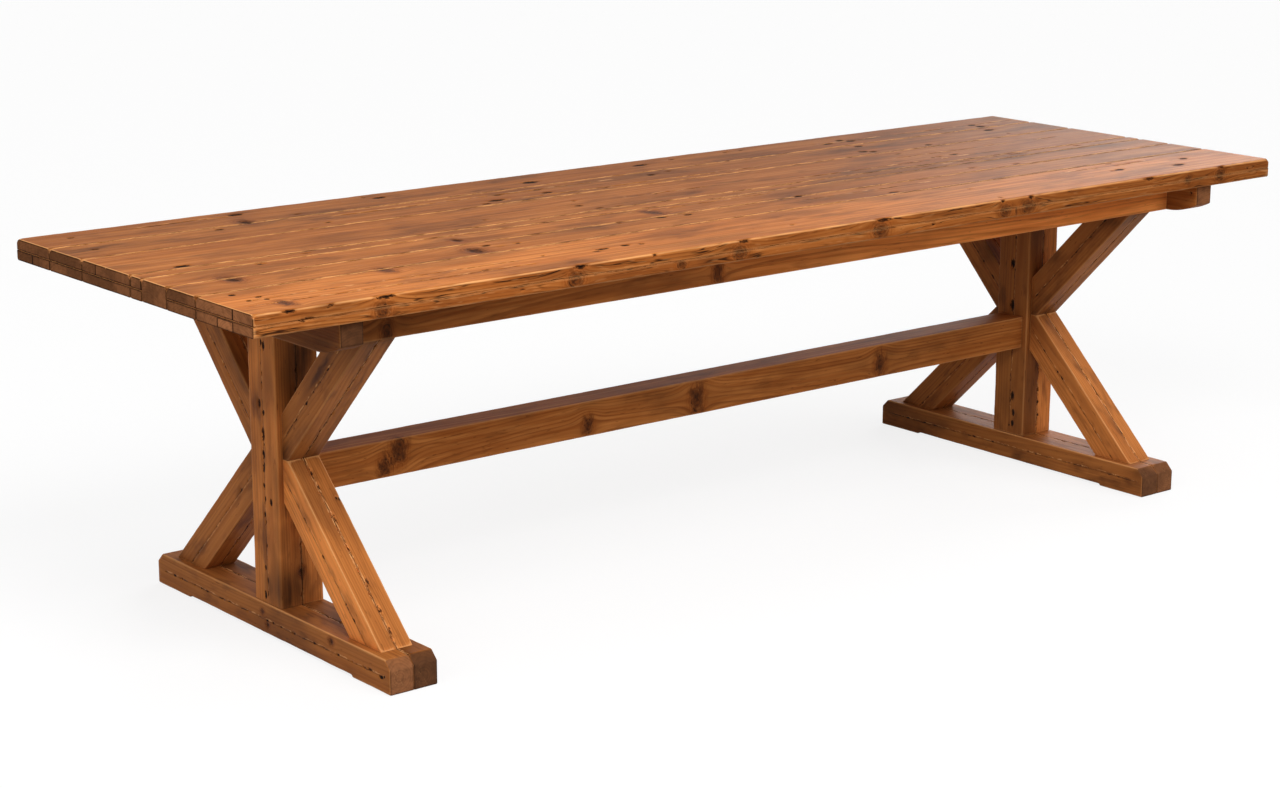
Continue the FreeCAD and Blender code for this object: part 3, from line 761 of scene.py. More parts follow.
@dataclass
class Timber:
    """One sawn timber, lofted along its grain.

    Its own axes are `u` along the grain from 0 to its length, `v` across its width and `w`
    through its thickness, with v and w measured from the middle. The rounds are the radii of
    its four long arrises: back under, back over, front over and front under. The seams are the
    numbers of the arrises, 0 to 3, that meet a neighbour and show gaps.
    """

    name: str
    node: str
    slot: str
    start: Triple
    along: Triple
    up: Triple
    length: float
    width: float
    thick: float
    rounds: tuple[float, float, float, float] = (2e-3, 2e-3, 2e-3, 2e-3)
    round_play: float = 0.35
    end_round: float = 1.2e-3
    pitch: float = 0.018
    seed: int = 1
    # the timber's tone, with painted light and shade folded in for some timbers
    tone: float = 1.0
    # painted light: the factor that the tone reaches at the far end, in place of light that falls off
    # along the timber
    tone_far: float = 1.0
    pith: tuple[float, float] = (0.01, -0.07)
    tenon: tuple[float, float, float] = (0.0, 0.0, 0.0)
    low_cut: tuple[tuple[float, float], ...] = ()
    high_cut: tuple[tuple[float, float], ...] = ()
    floor_line: tuple[tuple[float, float], ...] = ()
    roof_line: tuple[tuple[float, float], ...] = ()
    marks: list[Mark] = field(default_factory=list)
    bores: list[Triple] = field(default_factory=list)
    wobble: float = 0.35
    # painted light: how much lighter faces that turn up are, as if lit from above; a negative value
    # makes them darker
    lift: float = 0.0
    seams: tuple[int, ...] = ()
    # painted shade: how dark the timber turns towards both ends, where it meets other timbers
    grime: float = 0.0
    block: tuple[float, float, float, float, float] = (-2.0, 2.0, -2.0, 2.0, 0.0)

    def __post_init__(self) -> None:
        """Works out the timber's axes."""
        self.axis_u = np.array(self.along, float) / np.linalg.norm(self.along)
        self.axis_w = np.array(self.up, float) / np.linalg.norm(self.up)
        self.axis_v = np.cross(self.axis_w, self.axis_u)
        self.turn = np.array((self.axis_u, self.axis_v, self.axis_w))
        self.hv = self.width / 2
        self.hw = self.thick / 2

    @classmethod
    def from_node(cls, node: str, slot: str, grain: int, up: int, **more: Any) -> "Timber":
        """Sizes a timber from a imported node's box.

        Args:
            node: The node it stands for.
            slot: The material slot it takes its finish from.
            grain: The world axis, 0 to 2, that its grain follows.
            up: The world axis of its thickness.
            more: Any other field; "shoulder" is how far a tenon sticks out at each end.

        Returns:
            The timber, without its tenons.
        """
        low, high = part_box(node)
        shoulder = more.pop("shoulder", 0.0)
        size = high - low
        start = (low + high) / 2
        start[grain] = low[grain] + shoulder
        along = [0.0, 0.0, 0.0]
        along[grain] = 1.0
        over = [0.0, 0.0, 0.0]
        over[up] = 1.0
        other = 3 - grain - up
        return cls(
            name=node + "_timber", node=node, slot=slot, start=tuple(start), along=tuple(along),
            up=tuple(over), length=size[grain] - 2 * shoulder, width=size[other],
            thick=size[up], **more,
        )

    def inside(self, points: np.ndarray) -> np.ndarray:
        """Turns world points into the timber's own."""
        return (np.asarray(points, float) - np.array(self.start)) @ self.turn.T

    def outside(self, points: np.ndarray) -> np.ndarray:
        """Turns the timber's own points into world ones."""
        return np.asarray(points, float) @ self.turn + np.array(self.start)

    def struck(self, place: np.ndarray, line: np.ndarray) -> tuple[float, int, np.ndarray]:
        """Finds where a line of sight meets the timber's box.

        Args:
            place: Where the line starts.
            line: Its direction.

        Returns:
            The distance, the local axis of the face met, and the local point; the distance is
            infinite where the line misses.
        """
        eye = self.inside(place)
        way = self.turn @ line
        low = np.array((0, -self.hv, -self.hw))
        high = np.array((self.length, self.hv, self.hw))
        way = np.where(np.abs(way) < 1e-9, 1e-9, way)
        first = np.minimum((low - eye) / way, (high - eye) / way)
        last = np.maximum((low - eye) / way, (high - eye) / way)
        enter = float(first.max())
        if enter > last.min() or enter < 0:
            return math.inf, 0, eye
        return enter, int(first.argmax()), eye + way * enter

    def only(self, kind: type) -> list[Any]:
        """The timber's marks of one type."""
        return [m for m in self.marks if isinstance(m, kind)]

    # -- layout

    def stations(self) -> np.ndarray:
        """The places along the grain where the section is set out."""
        count = max(4, round(self.length / self.pitch))
        places = list(np.linspace(0, self.length, count + 1))
        for mark in self.marks:
            if isinstance(mark, Knot):
                places += [mark.at[0] + mark.radius * k for k in KNOT_ROWS]
                places += [mark.at[0] - mark.radius * k for k in KNOT_ROWS]
            elif isinstance(mark, (Pit, StainAndShade)):
                places += [mark.at[0] + mark.long * k for k in MARK_ROWS]
            else:
                places += [mark.start, mark.stop]
        for line in (self.floor_line, self.roof_line):
            for place, _ in line:
                places += [place - 1.2 * MM, place + 1.2 * MM]
        edge = self.end_round * 1.6
        inner = [p for p in places if edge < p < self.length - edge]
        return thinned(inner, ROW_GAP)

    def columns(self) -> list[tuple[int, float, int]]:
        """The lines along the grain, as face, place across it and check number, or -1."""
        rows: list[tuple[int, float, int]] = []
        checks = self.only(Check)
        for face in Face:
            half = self.hv if face in (Face.UNDER, Face.OVER) else self.hw
            axis = 2 if face in (Face.UNDER, Face.OVER) else 1
            near = max(self.rounds) * (1 + self.round_play) + 1.0 * MM
            limit = half - near
            if limit <= 0.5 * MM:
                continue
            count = max(1, round(2 * limit / COLUMN_PITCH))
            places = list(np.linspace(-limit, limit, count + 1))
            places += [-limit + 3 * MM, limit - 3 * MM] if limit > 8 * MM else []
            for cut in (self.low_cut, self.high_cut):
                places += [v for _, v in cut] if axis == 2 else []
            for mark in self.marks:
                if isinstance(mark, Check):
                    continue
                side = mark.at[axis] * (1 if face in (Face.OVER, Face.BACK) else -1)
                depth = (self.hw if axis == 2 else self.hv) - side
                span = mark.wide
                if depth > span * 1.5:
                    continue
                middle = mark.at[3 - axis]
                places += [middle + span * k for k in MARK_COLUMNS]
            mine = [(i, c) for i, c in enumerate(checks) if c.face is face]
            places = [
                p for p in places
                if abs(p) <= limit and all(abs(p - c.place) > 5 * MM for _, c in mine)
            ]
            lines = [(float(p), -1) for p in thinned(places, COLUMN_GAP)]
            for number, check in mine:
                lines += [(check.place + k * MM, number) for k in CHECK_COLUMNS]
            lines.sort(reverse=face in (Face.OVER, Face.FRONT))
            rows += [(face.value, p, n) for p, n in lines]
            rows.append((4 + face.value, 0.0, -1))
        return rows

    def sway(self, check: Check, along: np.ndarray) -> np.ndarray:
        """How far a check strays from its line, along the grain."""
        seed = self.seed * 7 + int(check.place * 1e4)
        return (wave(along, 0.12, seed) - 0.5) * 2 * check.sway * MM

    def arris(self, corner: int, along: np.ndarray) -> np.ndarray:
        """The radius of a long arris along the grain, uneven with wear."""
        play = wave(along, 0.05, self.seed * 11 + corner) + wave(along, 0.016, self.seed + corner)
        return self.rounds[corner] * (1 + self.round_play * (play - 1))

    # -- mesh

    def loft(self) -> tuple[np.ndarray, np.ndarray, list[tuple[int, ...]]]:
        """Sets out the timber's skin.

        Returns:
            Local points, the inward direction at each, and the faces.
        """
        inner = self.stations()
        e = self.end_round
        lead = [(0.0, e), (0.29 * e, 0.29 * e), (e, 0.0)]
        ends = [(0.0, self.end_room() * k) for k in (0.88, 0.66, 0.42, 0.2)]
        ends = [(u, c) for u, c in ends if c > 1.5 * e]
        body = ends + lead + [(float(u), 0.0) for u in inner]
        body += [(self.length - u, i) for u, i in reversed(ends + lead)]
        u = np.array([b[0] for b in body])
        inset = np.array([b[1] for b in body])
        scale_v = np.ones(len(u))
        scale_w = np.ones(len(u))
        reach, part_v, part_w = self.tenon
        if reach > 0:
            u = np.concatenate(([-reach, -reach, 0.0], u[len(ends):-len(ends)],
                                [self.length, self.length + reach, self.length + reach]))
            inset = np.concatenate(([3 * MM, 0, 0], inset[len(ends):-len(ends)], [0, 0, 3 * MM]))
            shape = np.ones(len(u) - 6)
            scale_v = np.concatenate(([part_v] * 3, shape, [part_v] * 3))
            scale_w = np.concatenate(([part_w] * 3, shape, [part_w] * 3))
        low_v = np.full(len(u), -self.hv)
        high_v = np.full(len(u), self.hv)
        if self.floor_line:
            low_v = np.interp(u, *zip(*self.floor_line))
        if self.roof_line:
            high_v = np.interp(u, *zip(*self.roof_line))
        v0 = low_v * scale_v + inset
        v1 = high_v * scale_v - inset
        w0 = -self.hw * scale_w + inset
        w1 = self.hw * scale_w - inset
        shrink = np.clip(1 - inset / (4 * e + 1e-9) * 0.5, 0.12, 1)
        radii = [self.arris(c, u) * shrink for c in range(4)]
        points: list[np.ndarray] = []
        inward: list[np.ndarray] = []
        checks = self.only(Check)
        turns = (0.0, math.pi / 6, math.pi / 3, math.pi / 2)
        for kind, place, number in self.columns():
            if kind >= 4:
                corner = kind - 4
                r = radii[corner]
                sign_v, sign_w = CORNER_SIGNS[corner]
                mid_v = (v1 if sign_v > 0 else v0) - sign_v * r
                mid_w = (w1 if sign_w > 0 else w0) - sign_w * r
                begin = (-math.pi / 2, 0.0, math.pi / 2, math.pi)[corner]
                for turn in turns:
                    cos, sin = math.cos(begin + turn), math.sin(begin + turn)
                    points.append(np.stack((u, mid_v + r * cos, mid_w + r * sin), 1))
                    inward.append(np.tile((0, -cos, -sin), (len(u), 1)))
                continue
            across = np.full(len(u), place)
            if number >= 0:
                across = across + self.sway(checks[number], u)
            if kind in (0, 2):
                before, after = (3, 0) if kind == 0 else (2, 1)
                share = (across + self.hv) / (2 * self.hv)
                side = v0 + share * (v1 - v0)
                side = np.clip(side, v0 + radii[before] * 1.02, v1 - radii[after] * 1.02)
                flat = w0 if kind == 0 else w1
                points.append(np.stack((u, side, flat), 1))
                inward.append(np.tile((0, 0, 1 if kind == 0 else -1), (len(u), 1)))
            else:
                before, after = (0, 1) if kind == 1 else (3, 2)
                share = (across + self.hw) / (2 * self.hw)
                side = w0 + share * (w1 - w0)
                side = np.clip(side, w0 + radii[before] * 1.02, w1 - radii[after] * 1.02)
                flat = v1 if kind == 1 else v0
                points.append(np.stack((u, flat, side), 1))
                inward.append(np.tile((0, -1 if kind == 1 else 1, 0), (len(u), 1)))
        grid = np.stack(points, 1)
        into = np.stack(inward, 1)
        into[inset > self.end_round * 1.01] = 0
        rows, cols = grid.shape[:2]
        if self.low_cut or self.high_cut:
            grid[..., 0] = self.trimmed(grid[..., 0], grid[..., 1])
        numbers = np.arange(rows * cols).reshape(rows, cols)
        quads = np.stack((numbers[:-1], np.roll(numbers, -1, 1)[:-1],
                          np.roll(numbers, -1, 1)[1:], numbers[1:]), -1).reshape(-1, 4)
        faces: list[tuple[int, ...]] = [tuple(q) for q in quads.tolist()]
        skin, into = grid.reshape(-1, 3), into.reshape(-1, 3)
        for ring in (numbers[0][::-1], numbers[-1]):
            if self.low_cut or self.high_cut:
                faces.append(tuple(ring.tolist()))
                continue
            hub = len(skin)
            skin = np.vstack((skin, skin[ring].mean(0)))
            into = np.vstack((into, np.zeros(3)))
            faces += [(int(a), int(b), hub) for a, b in zip(ring, np.roll(ring, -1))]
        return skin, into, faces

    def end_room(self) -> float:
        """Half the smaller side of the smaller end."""
        room = self.hw
        for place in (0.0, self.length):
            low = np.interp(place, *zip(*self.floor_line)) if self.floor_line else -self.hv
            high = np.interp(place, *zip(*self.roof_line)) if self.roof_line else self.hv
            room = min(room, (high - low) / 2)
        return float(room)

    def trimmed(self, along: np.ndarray, across: np.ndarray) -> np.ndarray:
        """Fits places along the grain between end cuts that change across the width."""
        low = np.zeros_like(across)
        high = np.full_like(across, self.length)
        if self.low_cut:
            line = sorted((v, u) for u, v in self.low_cut)
            low = np.interp(across, *zip(*line))
        if self.high_cut:
            line = sorted((v, u) for u, v in self.high_cut)
            high = np.interp(across, *zip(*line))
        share = along / self.length
        return low + share * (high - low)

    def hollows(self, points: np.ndarray) -> tuple[np.ndarray, np.ndarray, np.ndarray]:
        """Depth of the pits, checks, knots and plane marks, and how dark they are.

        Args:
            points: Local points.

        Returns:
            The depth, the darkness inside holes and the darkness of stains and painted shade at each
            point.
        """
        u, v, w = points.T
        cells = np.stack((u / 0.09, v / 0.03, w / 0.03), 1)
        depth = (ripple(cells, self.seed + 5) * 0.7 + ripple(cells * 3.1, self.seed + 9) * 0.3)
        depth = depth * self.wobble * MM
        dark = np.zeros(len(points))
        clouds = ripple(points / (0.05, 0.03, 0.03), self.seed + 17)
        # painted shade towards both ends, where the timber meets others
        stain_and_shade = self.grime * np.exp(-np.minimum(u, self.length - u) / 0.06) * (0.2 + clouds)
        for mark in self.marks:
            if isinstance(mark, StainAndShade):
                du, dv, dw = (points - np.array(mark.at)).T
                far = (du / mark.long) ** 2 + (dv**2 + dw**2) / mark.wide**2
                patchy = 0.4 + 1.2 * ripple(points / (mark.long, mark.wide, mark.wide) * 2.3, self.seed)
                stain_and_shade = np.maximum(stain_and_shade, mark.dark * np.exp(-1.3 * far * patchy))
            elif isinstance(mark, Pit):
                du, dv, dw = (points - np.array(mark.at)).T
                ragged = 1 + 0.5 * (ripple(points / (3.5 * MM), self.seed + 3) - 0.5)
                far = (du / mark.long) ** 2 + (dv**2 + dw**2) / mark.wide**2
                dent = np.exp(-(far * ragged) ** 1.6)
                depth = np.maximum(depth, mark.deep * dent)
                dark = np.maximum(dark, mark.dark * np.clip(dent * 1.9 - 0.35, 0, 1))
            elif isinstance(mark, Knot):
                du, side, near = self.knot_frame(mark, points)
                far = np.hypot(du, side)
                bowl = np.exp(-((far / 0.95) ** 4)) * near
                depth = depth + bowl * (0.25 + 2.2 * mark.hollow) * MM
                dark = np.maximum(dark, mark.hollow * np.clip(bowl * 1.8 - 0.4, 0, 1))
            else:
                off, here = self.check_frame(mark, points)
                groove = np.clip(1 - np.abs(off) / 3.2, 0, 1) * here
                lively = wave(u, 0.02, self.seed * 3 + int(mark.place * 1e4))
                depth = depth + groove * mark.deep * MM * np.clip(lively * 2 - 0.5, 0, 1)
        return depth, dark, stain_and_shade

    def knot_frame(
        self, knot: Knot, points: np.ndarray
    ) -> tuple[np.ndarray, np.ndarray, np.ndarray]:
        """Where points lie beside a knot, in its radii, and whether they are near enough."""
        shift = points - np.array(knot.at)
        side = shift[:, 3 - knot.axis]
        inwards = np.abs(shift[:, knot.axis])
        taper = np.clip(1 - 0.75 * inwards / max(knot.reach, 1e-6), 0.2, 1)
        near = (inwards < knot.reach).astype(float)
        return shift[:, 0] / (knot.radius * taper), side / (knot.wide * taper), near

    def check_frame(self, check: Check, points: np.ndarray) -> tuple[np.ndarray, np.ndarray]:
        """How far points lie off a check, in millimetres, and how strong it is there."""
        u, v, w = points.T
        flat = (Face.UNDER, Face.OVER)
        off = ((v if check.face in flat else w) - check.place - self.sway(check, u)) / MM
        level = {Face.UNDER: -self.hw - w, Face.OVER: w - self.hw}
        level |= {Face.BACK: v - self.hv, Face.FRONT: -self.hv - v}
        on_face = level[check.face] > -4 * MM
        fade = np.clip((u - check.start) / 0.03, 0, 1) * np.clip((check.stop - u) / 0.03, 0, 1)
        return off, on_face * fade * check.strength

    def off_seam(self, v: np.ndarray, w: np.ndarray) -> np.ndarray:
        """How far points lie off the nearest seam, in millimetres.

        Args:
            v: Places across the width.
            w: Places through the thickness.

        Returns:
            The distances, three times as large at an arris with hardly any round, whose seam
            shows thinner.
        """
        best = np.full(len(v), 40.0)
        for corner in self.seams:
            side_v, side_w = CORNER_SIGNS[corner]
            off = np.maximum(np.abs(self.hv * side_v - v), np.abs(self.hw * side_w - w)) / MM
            best = np.minimum(best, off * (3 if self.rounds[corner] < 1.5 * MM else 1))
        return best

    def carry(self, mesh: bpy.types.Mesh) -> None:
        """Writes the grain, the marks and the tone, with its painted light and shade, into the mesh for
        the finish to read.
        """
        count = len(mesh.vertices)
        world = np.zeros(count * 3)
        mesh.vertices.foreach_get("co", world)
        points = self.inside(world.reshape(-1, 3))
        normals = np.zeros(count * 3)
        mesh.vertex_normals.foreach_get("vector", normals)
        normals = normals.reshape(-1, 3)
        # painted light: faces that turn up are lighter, as if lit from above
        tone = self.tone * (1 + self.lift * np.clip(normals[:, 2], 0, 1))
        normals = normals @ self.turn.T
        u, v, w = points.T
        # painted light: the tone runs evenly from 1 at the near end to its far-end factor, in place of
        # light that falls off along the timber
        tone = tone * (1 + (self.tone_far - 1) * np.clip(u / self.length, 0, 1))
        depth, dark, stain_and_shade = self.hollows(points)
        knots = self.only(Knot)
        checks = self.only(Check)
        bend_v = self.pith[0] + (wave(u, 0.7, self.seed) - 0.5) * 0.03
        bend_w = self.pith[1] + (wave(u, 0.9, self.seed + 1) - 0.5) * 0.02
        grain = np.stack((u + self.seed * 3.7, v - bend_v, w - bend_w), 1)
        knot = np.zeros((count, 3))
        best = np.full(count, 4.0)
        for mark in knots:
            du, side, near = self.knot_frame(mark, points)
            far = np.hypot(du, side)
            pull = np.exp(-((du / 3.2) ** 2 + (side / 2.2) ** 2)) * near * 0.85
            turned = 3 - mark.axis
            grain[:, turned] -= side * mark.wide * pull
            take = (far < best) & (near > 0)
            knot[take, 0] = du[take]
            knot[take, 1] = side[take]
            knot[take, 2] = np.clip((4.0 - far[take]) / 1.4, 0, 1)
            best[take] = far[take]
        line = np.zeros((count, 3))
        line[:, 0] = 30.0
        nearest = np.full(count, 30.0)
        for mark in checks:
            off, here = self.check_frame(mark, points)
            take = (np.abs(off) < nearest) & (here > 0)
            line[take, 0] = off[take]
            line[take, 1] = here[take]
            nearest[take] = np.abs(off)[take]
        low, high = self.trimmed(np.zeros(count), v), self.trimmed(np.full(count, self.length), v)
        gaps = np.stack((u - low, high - u, self.hv - np.abs(v), self.hw - np.abs(w)), 1)
        rim = np.sort(np.abs(gaps), 1)[:, 1] / MM
        line[:, 2] = self.off_seam(v, w)
        # the third number is the tone, with its painted light and shade
        lay = np.stack((np.abs(normals[:, 0]), np.abs(normals[:, 1]), tone), 1)
        left, right, low, high, shade = self.block
        block_v = (v / self.hv - (left + right) / 2) / ((right - left) / 2)
        block_w = (w / self.hw - (low + high) / 2) / ((high - low) / 2)
        block = np.stack((block_v, block_w, np.full(count, shade)), 1)
        vectors = {"grain": grain, "knot": knot, "line": line, "lay": lay, "block": block}
        for name, values in vectors.items():
            layer = mesh.attributes.new(name, "FLOAT_VECTOR", "POINT")
            layer.data.foreach_set("vector", values.astype(np.float32).ravel())
        for name, values in (("pit", dark), ("stain_and_shade", stain_and_shade), ("rim", rim)):
            layer = mesh.attributes.new(name, "FLOAT", "POINT")
            layer.data.foreach_set("value", values.astype(np.float32))

    def build(self, finish: bpy.types.Material) -> bpy.types.Object:
        """Makes the timber's object, bores it, and puts it in place of its node.

        Args:
            finish: The material.

        Returns:
            The new object.
        """
        points, inward, faces = self.loft()
        depth = self.hollows(points)[0]
        points = points + inward * depth[:, None]
        mesh = bpy.data.meshes.new(self.name)
        mesh.from_pydata(self.outside(points).tolist(), [], faces)
        mesh.update()
        piece = new_object(self.name, mesh)
        if self.bores:
            self.bore(piece)
        mesh = piece.data
        self.weld(mesh)
        mesh.polygons.foreach_set("use_smooth", [True] * len(mesh.polygons))
        mesh.set_sharp_from_angle(angle=SMOOTH_ANGLE)
        self.carry(mesh)
        mesh.materials.clear()
        mesh.materials.append(finish)
        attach(piece, "root")
        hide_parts(self.node)
        return piece

    def weld(self, mesh: bpy.types.Mesh) -> None:
        """Joins points that fall on one spot, and drops the empty faces and fins this leaves."""
        work = bmesh.new()
        work.from_mesh(mesh)
        bmesh.ops.remove_doubles(work, verts=work.verts, dist=SAME_SPOT)
        fins = [f for f in work.faces if any(len(e.link_faces) == 1 for e in f.edges)]
        bmesh.ops.delete(work, geom=fins, context="FACES")
        work.to_mesh(mesh)
        work.free()

    def bore(self, piece: bpy.types.Object) -> None:
        """Cuts the counterbores, each a local centre on the underside with its depth."""
        ring = COUNTERBORE_SIDES
        verts: list[Triple] = []
        faces: list[tuple[int, ...]] = []
        for x, y, bottom in self.bores:
            base = len(verts)
            for z in (bottom - 2 * MM, bottom + COUNTERBORE_DEPTH):
                for step in range(ring):
                    turn = 2 * math.pi * step / ring
                    across = x + COUNTERBORE_RADIUS * math.cos(turn)
                    verts.append((across, y + COUNTERBORE_RADIUS * math.sin(turn), z))
            for step in range(ring):
                after = (step + 1) % ring
                faces.append((base + step, base + after, base + ring + after, base + ring + step))
            faces.append(tuple(base + ring - 1 - s for s in range(ring)))
            faces.append(tuple(base + ring + s for s in range(ring)))
        mesh = bpy.data.meshes.new("cutter")
        mesh.from_pydata(verts, [], faces)
        cutter = new_object("cutter", mesh)
        cut = piece.modifiers.new("bores", "BOOLEAN")
        cut.object = cutter
        cut.operation = "DIFFERENCE"
        cut.solver = "EXACT"
        bpy.context.view_layer.update()
        graph = bpy.context.evaluated_depsgraph_get()
        bored = bpy.data.meshes.new_from_object(piece.evaluated_get(graph))
        piece.modifiers.clear()
        old = piece.data
        piece.data = bored
        bpy.data.meshes.remove(old)
        bpy.data.objects.remove(cutter)


def screw_places(node: str) -> list[tuple[float, float]]:
    """Finds the axis of each screw in a group.

    Args:
        node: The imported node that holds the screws.

    Returns:
        The x and y of each screw.
    """
    found: list[list[np.ndarray]] = []
    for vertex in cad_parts[node].data.vertices:
        place = np.array(vertex.co[:2])
        for group in found:
            if np.linalg.norm(place - group[0]) < 0.02:
                group.append(place)
                break
        else:
            found.append([place])
    places = []
    for group in found:
        spots = np.array(group)
        middle = (spots.min(0) + spots.max(0)) / 2
        places.append((float(middle[0]), float(middle[1])))
    return places


def bores_along(screws: str, axis: int, line: float, room: float = 0.02) -> list[Triple]:
    """Finds the counterbores of the screws that stand in one rail.

    Args:
        screws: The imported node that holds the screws.
        axis: The world axis, 0 or 1, that runs across the rail.
        line: Where the rail's middle lies on that axis.
        room: How far from the middle a screw may stand.

    Returns:
        The middle of each counterbore's mouth.
    """
    spots = [spot for spot in screw_places(screws) if abs(spot[axis] - line) < room]
    return [(x, y, RAIL_UNDERSIDE) for x, y in spots]


# ---------------------------------------------------------------- sub-assemblies


@dataclass
class Tabletop:
    """Seven boards, most of them in two layers."""

    names: tuple[str, ...] = (
        "top_board_1_lower", "top_board_1_upper", "top_board_2_lower", "top_board_2_upper",
        "top_board_3_lower", "top_board_3_upper", "top_board_4_lower", "top_board_4_upper",
        "top_board_5", "top_board_6_lower", "top_board_6_upper", "top_board_7_lower",
        "top_board_7_upper",
    )
    # each board's tone, partly its own and partly painted light, lighter towards the front
    tones_and_light: tuple[float, ...] = (
        0.78, 0.76, 0.82, 0.8, 0.85, 0.88, 0.84, 0.93, 0.96, 0.86, 0.95, 1.16, 1.18,
    )
    seam_round: float = 4.5e-3
    layer_round: float = 1.2e-3
    rim_round: float = 5.0e-3
    rim_at: float = 0.44
    upper_over: float = 0.755
    lower_under: float = 0.72
    blocks: dict[str, tuple[float, float, float, float, float]] = field(default_factory=lambda: {
        "top_board_1_lower": (-1.0, 0.05, -1.0, 1.0, 0.14),
        "top_board_2_lower": (-2.0, 2.0, -2.0, 2.0, 0.06),
        "top_board_3_upper": (0.42, 1.0, -1.0, 1.0, -0.2),
        "top_board_4_upper": (-0.86, 0.86, -0.86, 0.86, 0.14),
        "top_board_6_upper": (-2.0, 2.0, -2.0, 2.0, -0.1),
        "top_board_7_lower": (-0.3, 0.24, -1.0, 0.7, 0.34),
        "top_board_7_upper": (-1.0, -0.3, -1.0, 1.0, 0.1),
    })
    timbers: list[Timber] = field(default_factory=list)

    def build(self) -> None:
        """Sets out every board with its own grain and chance marks."""
        for number, (name, tone) in enumerate(zip(self.names, self.tones_and_light)):
            chance = np.random.default_rng(300 + number)
            low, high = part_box(name)
            front = self.rim_round if low[1] < -self.rim_at else self.seam_round
            back = self.rim_round if high[1] > self.rim_at else self.seam_round
            top = high[2] > self.upper_over
            under = low[2] < self.lower_under
            rounds = (
                back if under else self.layer_round, back if top else self.layer_round,
                front if top else self.layer_round, front if under else self.layer_round,
            )
            pith = (float(chance.uniform(-0.05, 0.05)), float(chance.uniform(-0.11, -0.06)))
            board = Timber.from_node(
                name, "top_boards", 0, 2, rounds=rounds, end_round=2.2e-3 if top else 1.2e-3,
                seed=11 + number, tone=tone, pith=pith, pitch=0.022 if top else 0.04,
                # painted shade: the boards darken towards their right ends, where less light falls
                tone_far=0.84 if front == self.rim_round else 0.74,
            )
            board.block = self.blocks.get(name, board.block)
            board.seams = tuple(
                corner for corner, size in enumerate(rounds)
                if size == self.layer_round or (size == self.seam_round and corner > 1)
            )
            if top:
                self.split(board, chance)
                self.notch(board, chance)
            self.timbers.append(board)

    def notch(self, board: Timber, chance: np.random.Generator) -> None:
        """Wears the upper corners of a board's ends, where it meets its neighbours."""
        for end, side in product((0.0, board.length), (-1, 1)):
            size = float(chance.uniform(4.0, 6.5)) * MM
            at = (end, side * board.hv, board.hw)
            board.marks.append(Pit(at, size * 1.3, size, size * 0.7, 0.95))

    def split(self, board: Timber, chance: np.random.Generator) -> None:
        """Adds a few checks and small pits to a board's upper face."""
        spots = max(1, round(board.width / 0.07))
        for _ in range(spots):
            place = float(chance.uniform(-0.7, 0.7)) * board.hv
            begin = float(chance.uniform(0, board.length * 0.8))
            stop = min(board.length, begin + float(chance.uniform(0.25, 0.9)))
            board.marks.append(Check(Face.OVER, place, begin, stop, 0.9, 2.2, 2.5))
        for _ in range(spots * 3):
            at = (float(chance.uniform(0.05, board.length - 0.05)),
                  float(chance.uniform(-0.9, 0.9)) * board.hv, board.hw)
            size = float(chance.uniform(5, 15)) * MM
            wide = float(chance.uniform(4, 8)) * MM
            board.marks.append(Pit(at, size, wide, 1.2 * MM, float(chance.uniform(0.45, 0.8))))


@dataclass
class Rails:
    """The two aprons and the two bearers under the top."""

    arris: float = 1.6e-3
    curve_run: float = 0.086
    curve_rise: float = 0.022
    curve_steps: int = 8
    tenon: float = 0.020
    timbers: list[Timber] = field(default_factory=list)

    def build(self) -> None:
        """Sets out the aprons and bearers."""
        for number, name in enumerate(("front_apron", "back_apron")):
            rail = Timber.from_node(
                name, "rails", 0, 2, shoulder=self.tenon, tenon=(self.tenon, 0.6, 0.6),
                # painted light: the apron grows 4.4 times lighter towards its right end, where more
                # light falls on it
                rounds=(self.arris,) * 4, seed=41 + number, tone=0.49, tone_far=4.4,
                pith=(0.03, -0.03), pitch=0.024,
            )
            rail.bores = bores_along("apron_screws", 1, rail.start[1])
            self.timbers.append(rail)
        for number, name in enumerate(("left_bearer", "right_bearer")):
            bearer = Timber.from_node(
                name, "rails", 1, 0, rounds=(self.arris,) * 4, seed=45 + number,
                tone=0.38 + number * 0.35, pith=(-0.05, 0.01), end_round=1.8e-3, pitch=0.02,
            )
            bearer.floor_line = self.belly(bearer)
            bearer.bores = bores_along("bearer_screws", 0, bearer.start[0])
            self.timbers.append(bearer)

    def belly(self, bearer: Timber) -> tuple[tuple[float, float], ...]:
        """The underside of a bearer, which curves up towards both ends."""
        chord = (self.curve_run**2 + self.curve_rise**2) / (2 * self.curve_rise)
        line = []
        for step in range(self.curve_steps + 1):
            run = self.curve_run * step / self.curve_steps
            rise = chord - math.sqrt(chord**2 - run**2)
            line.append((self.curve_run - run, -bearer.hv + rise))
        last = [(bearer.length - u, v) for u, v in line]
        return tuple(line[::-1] + last)


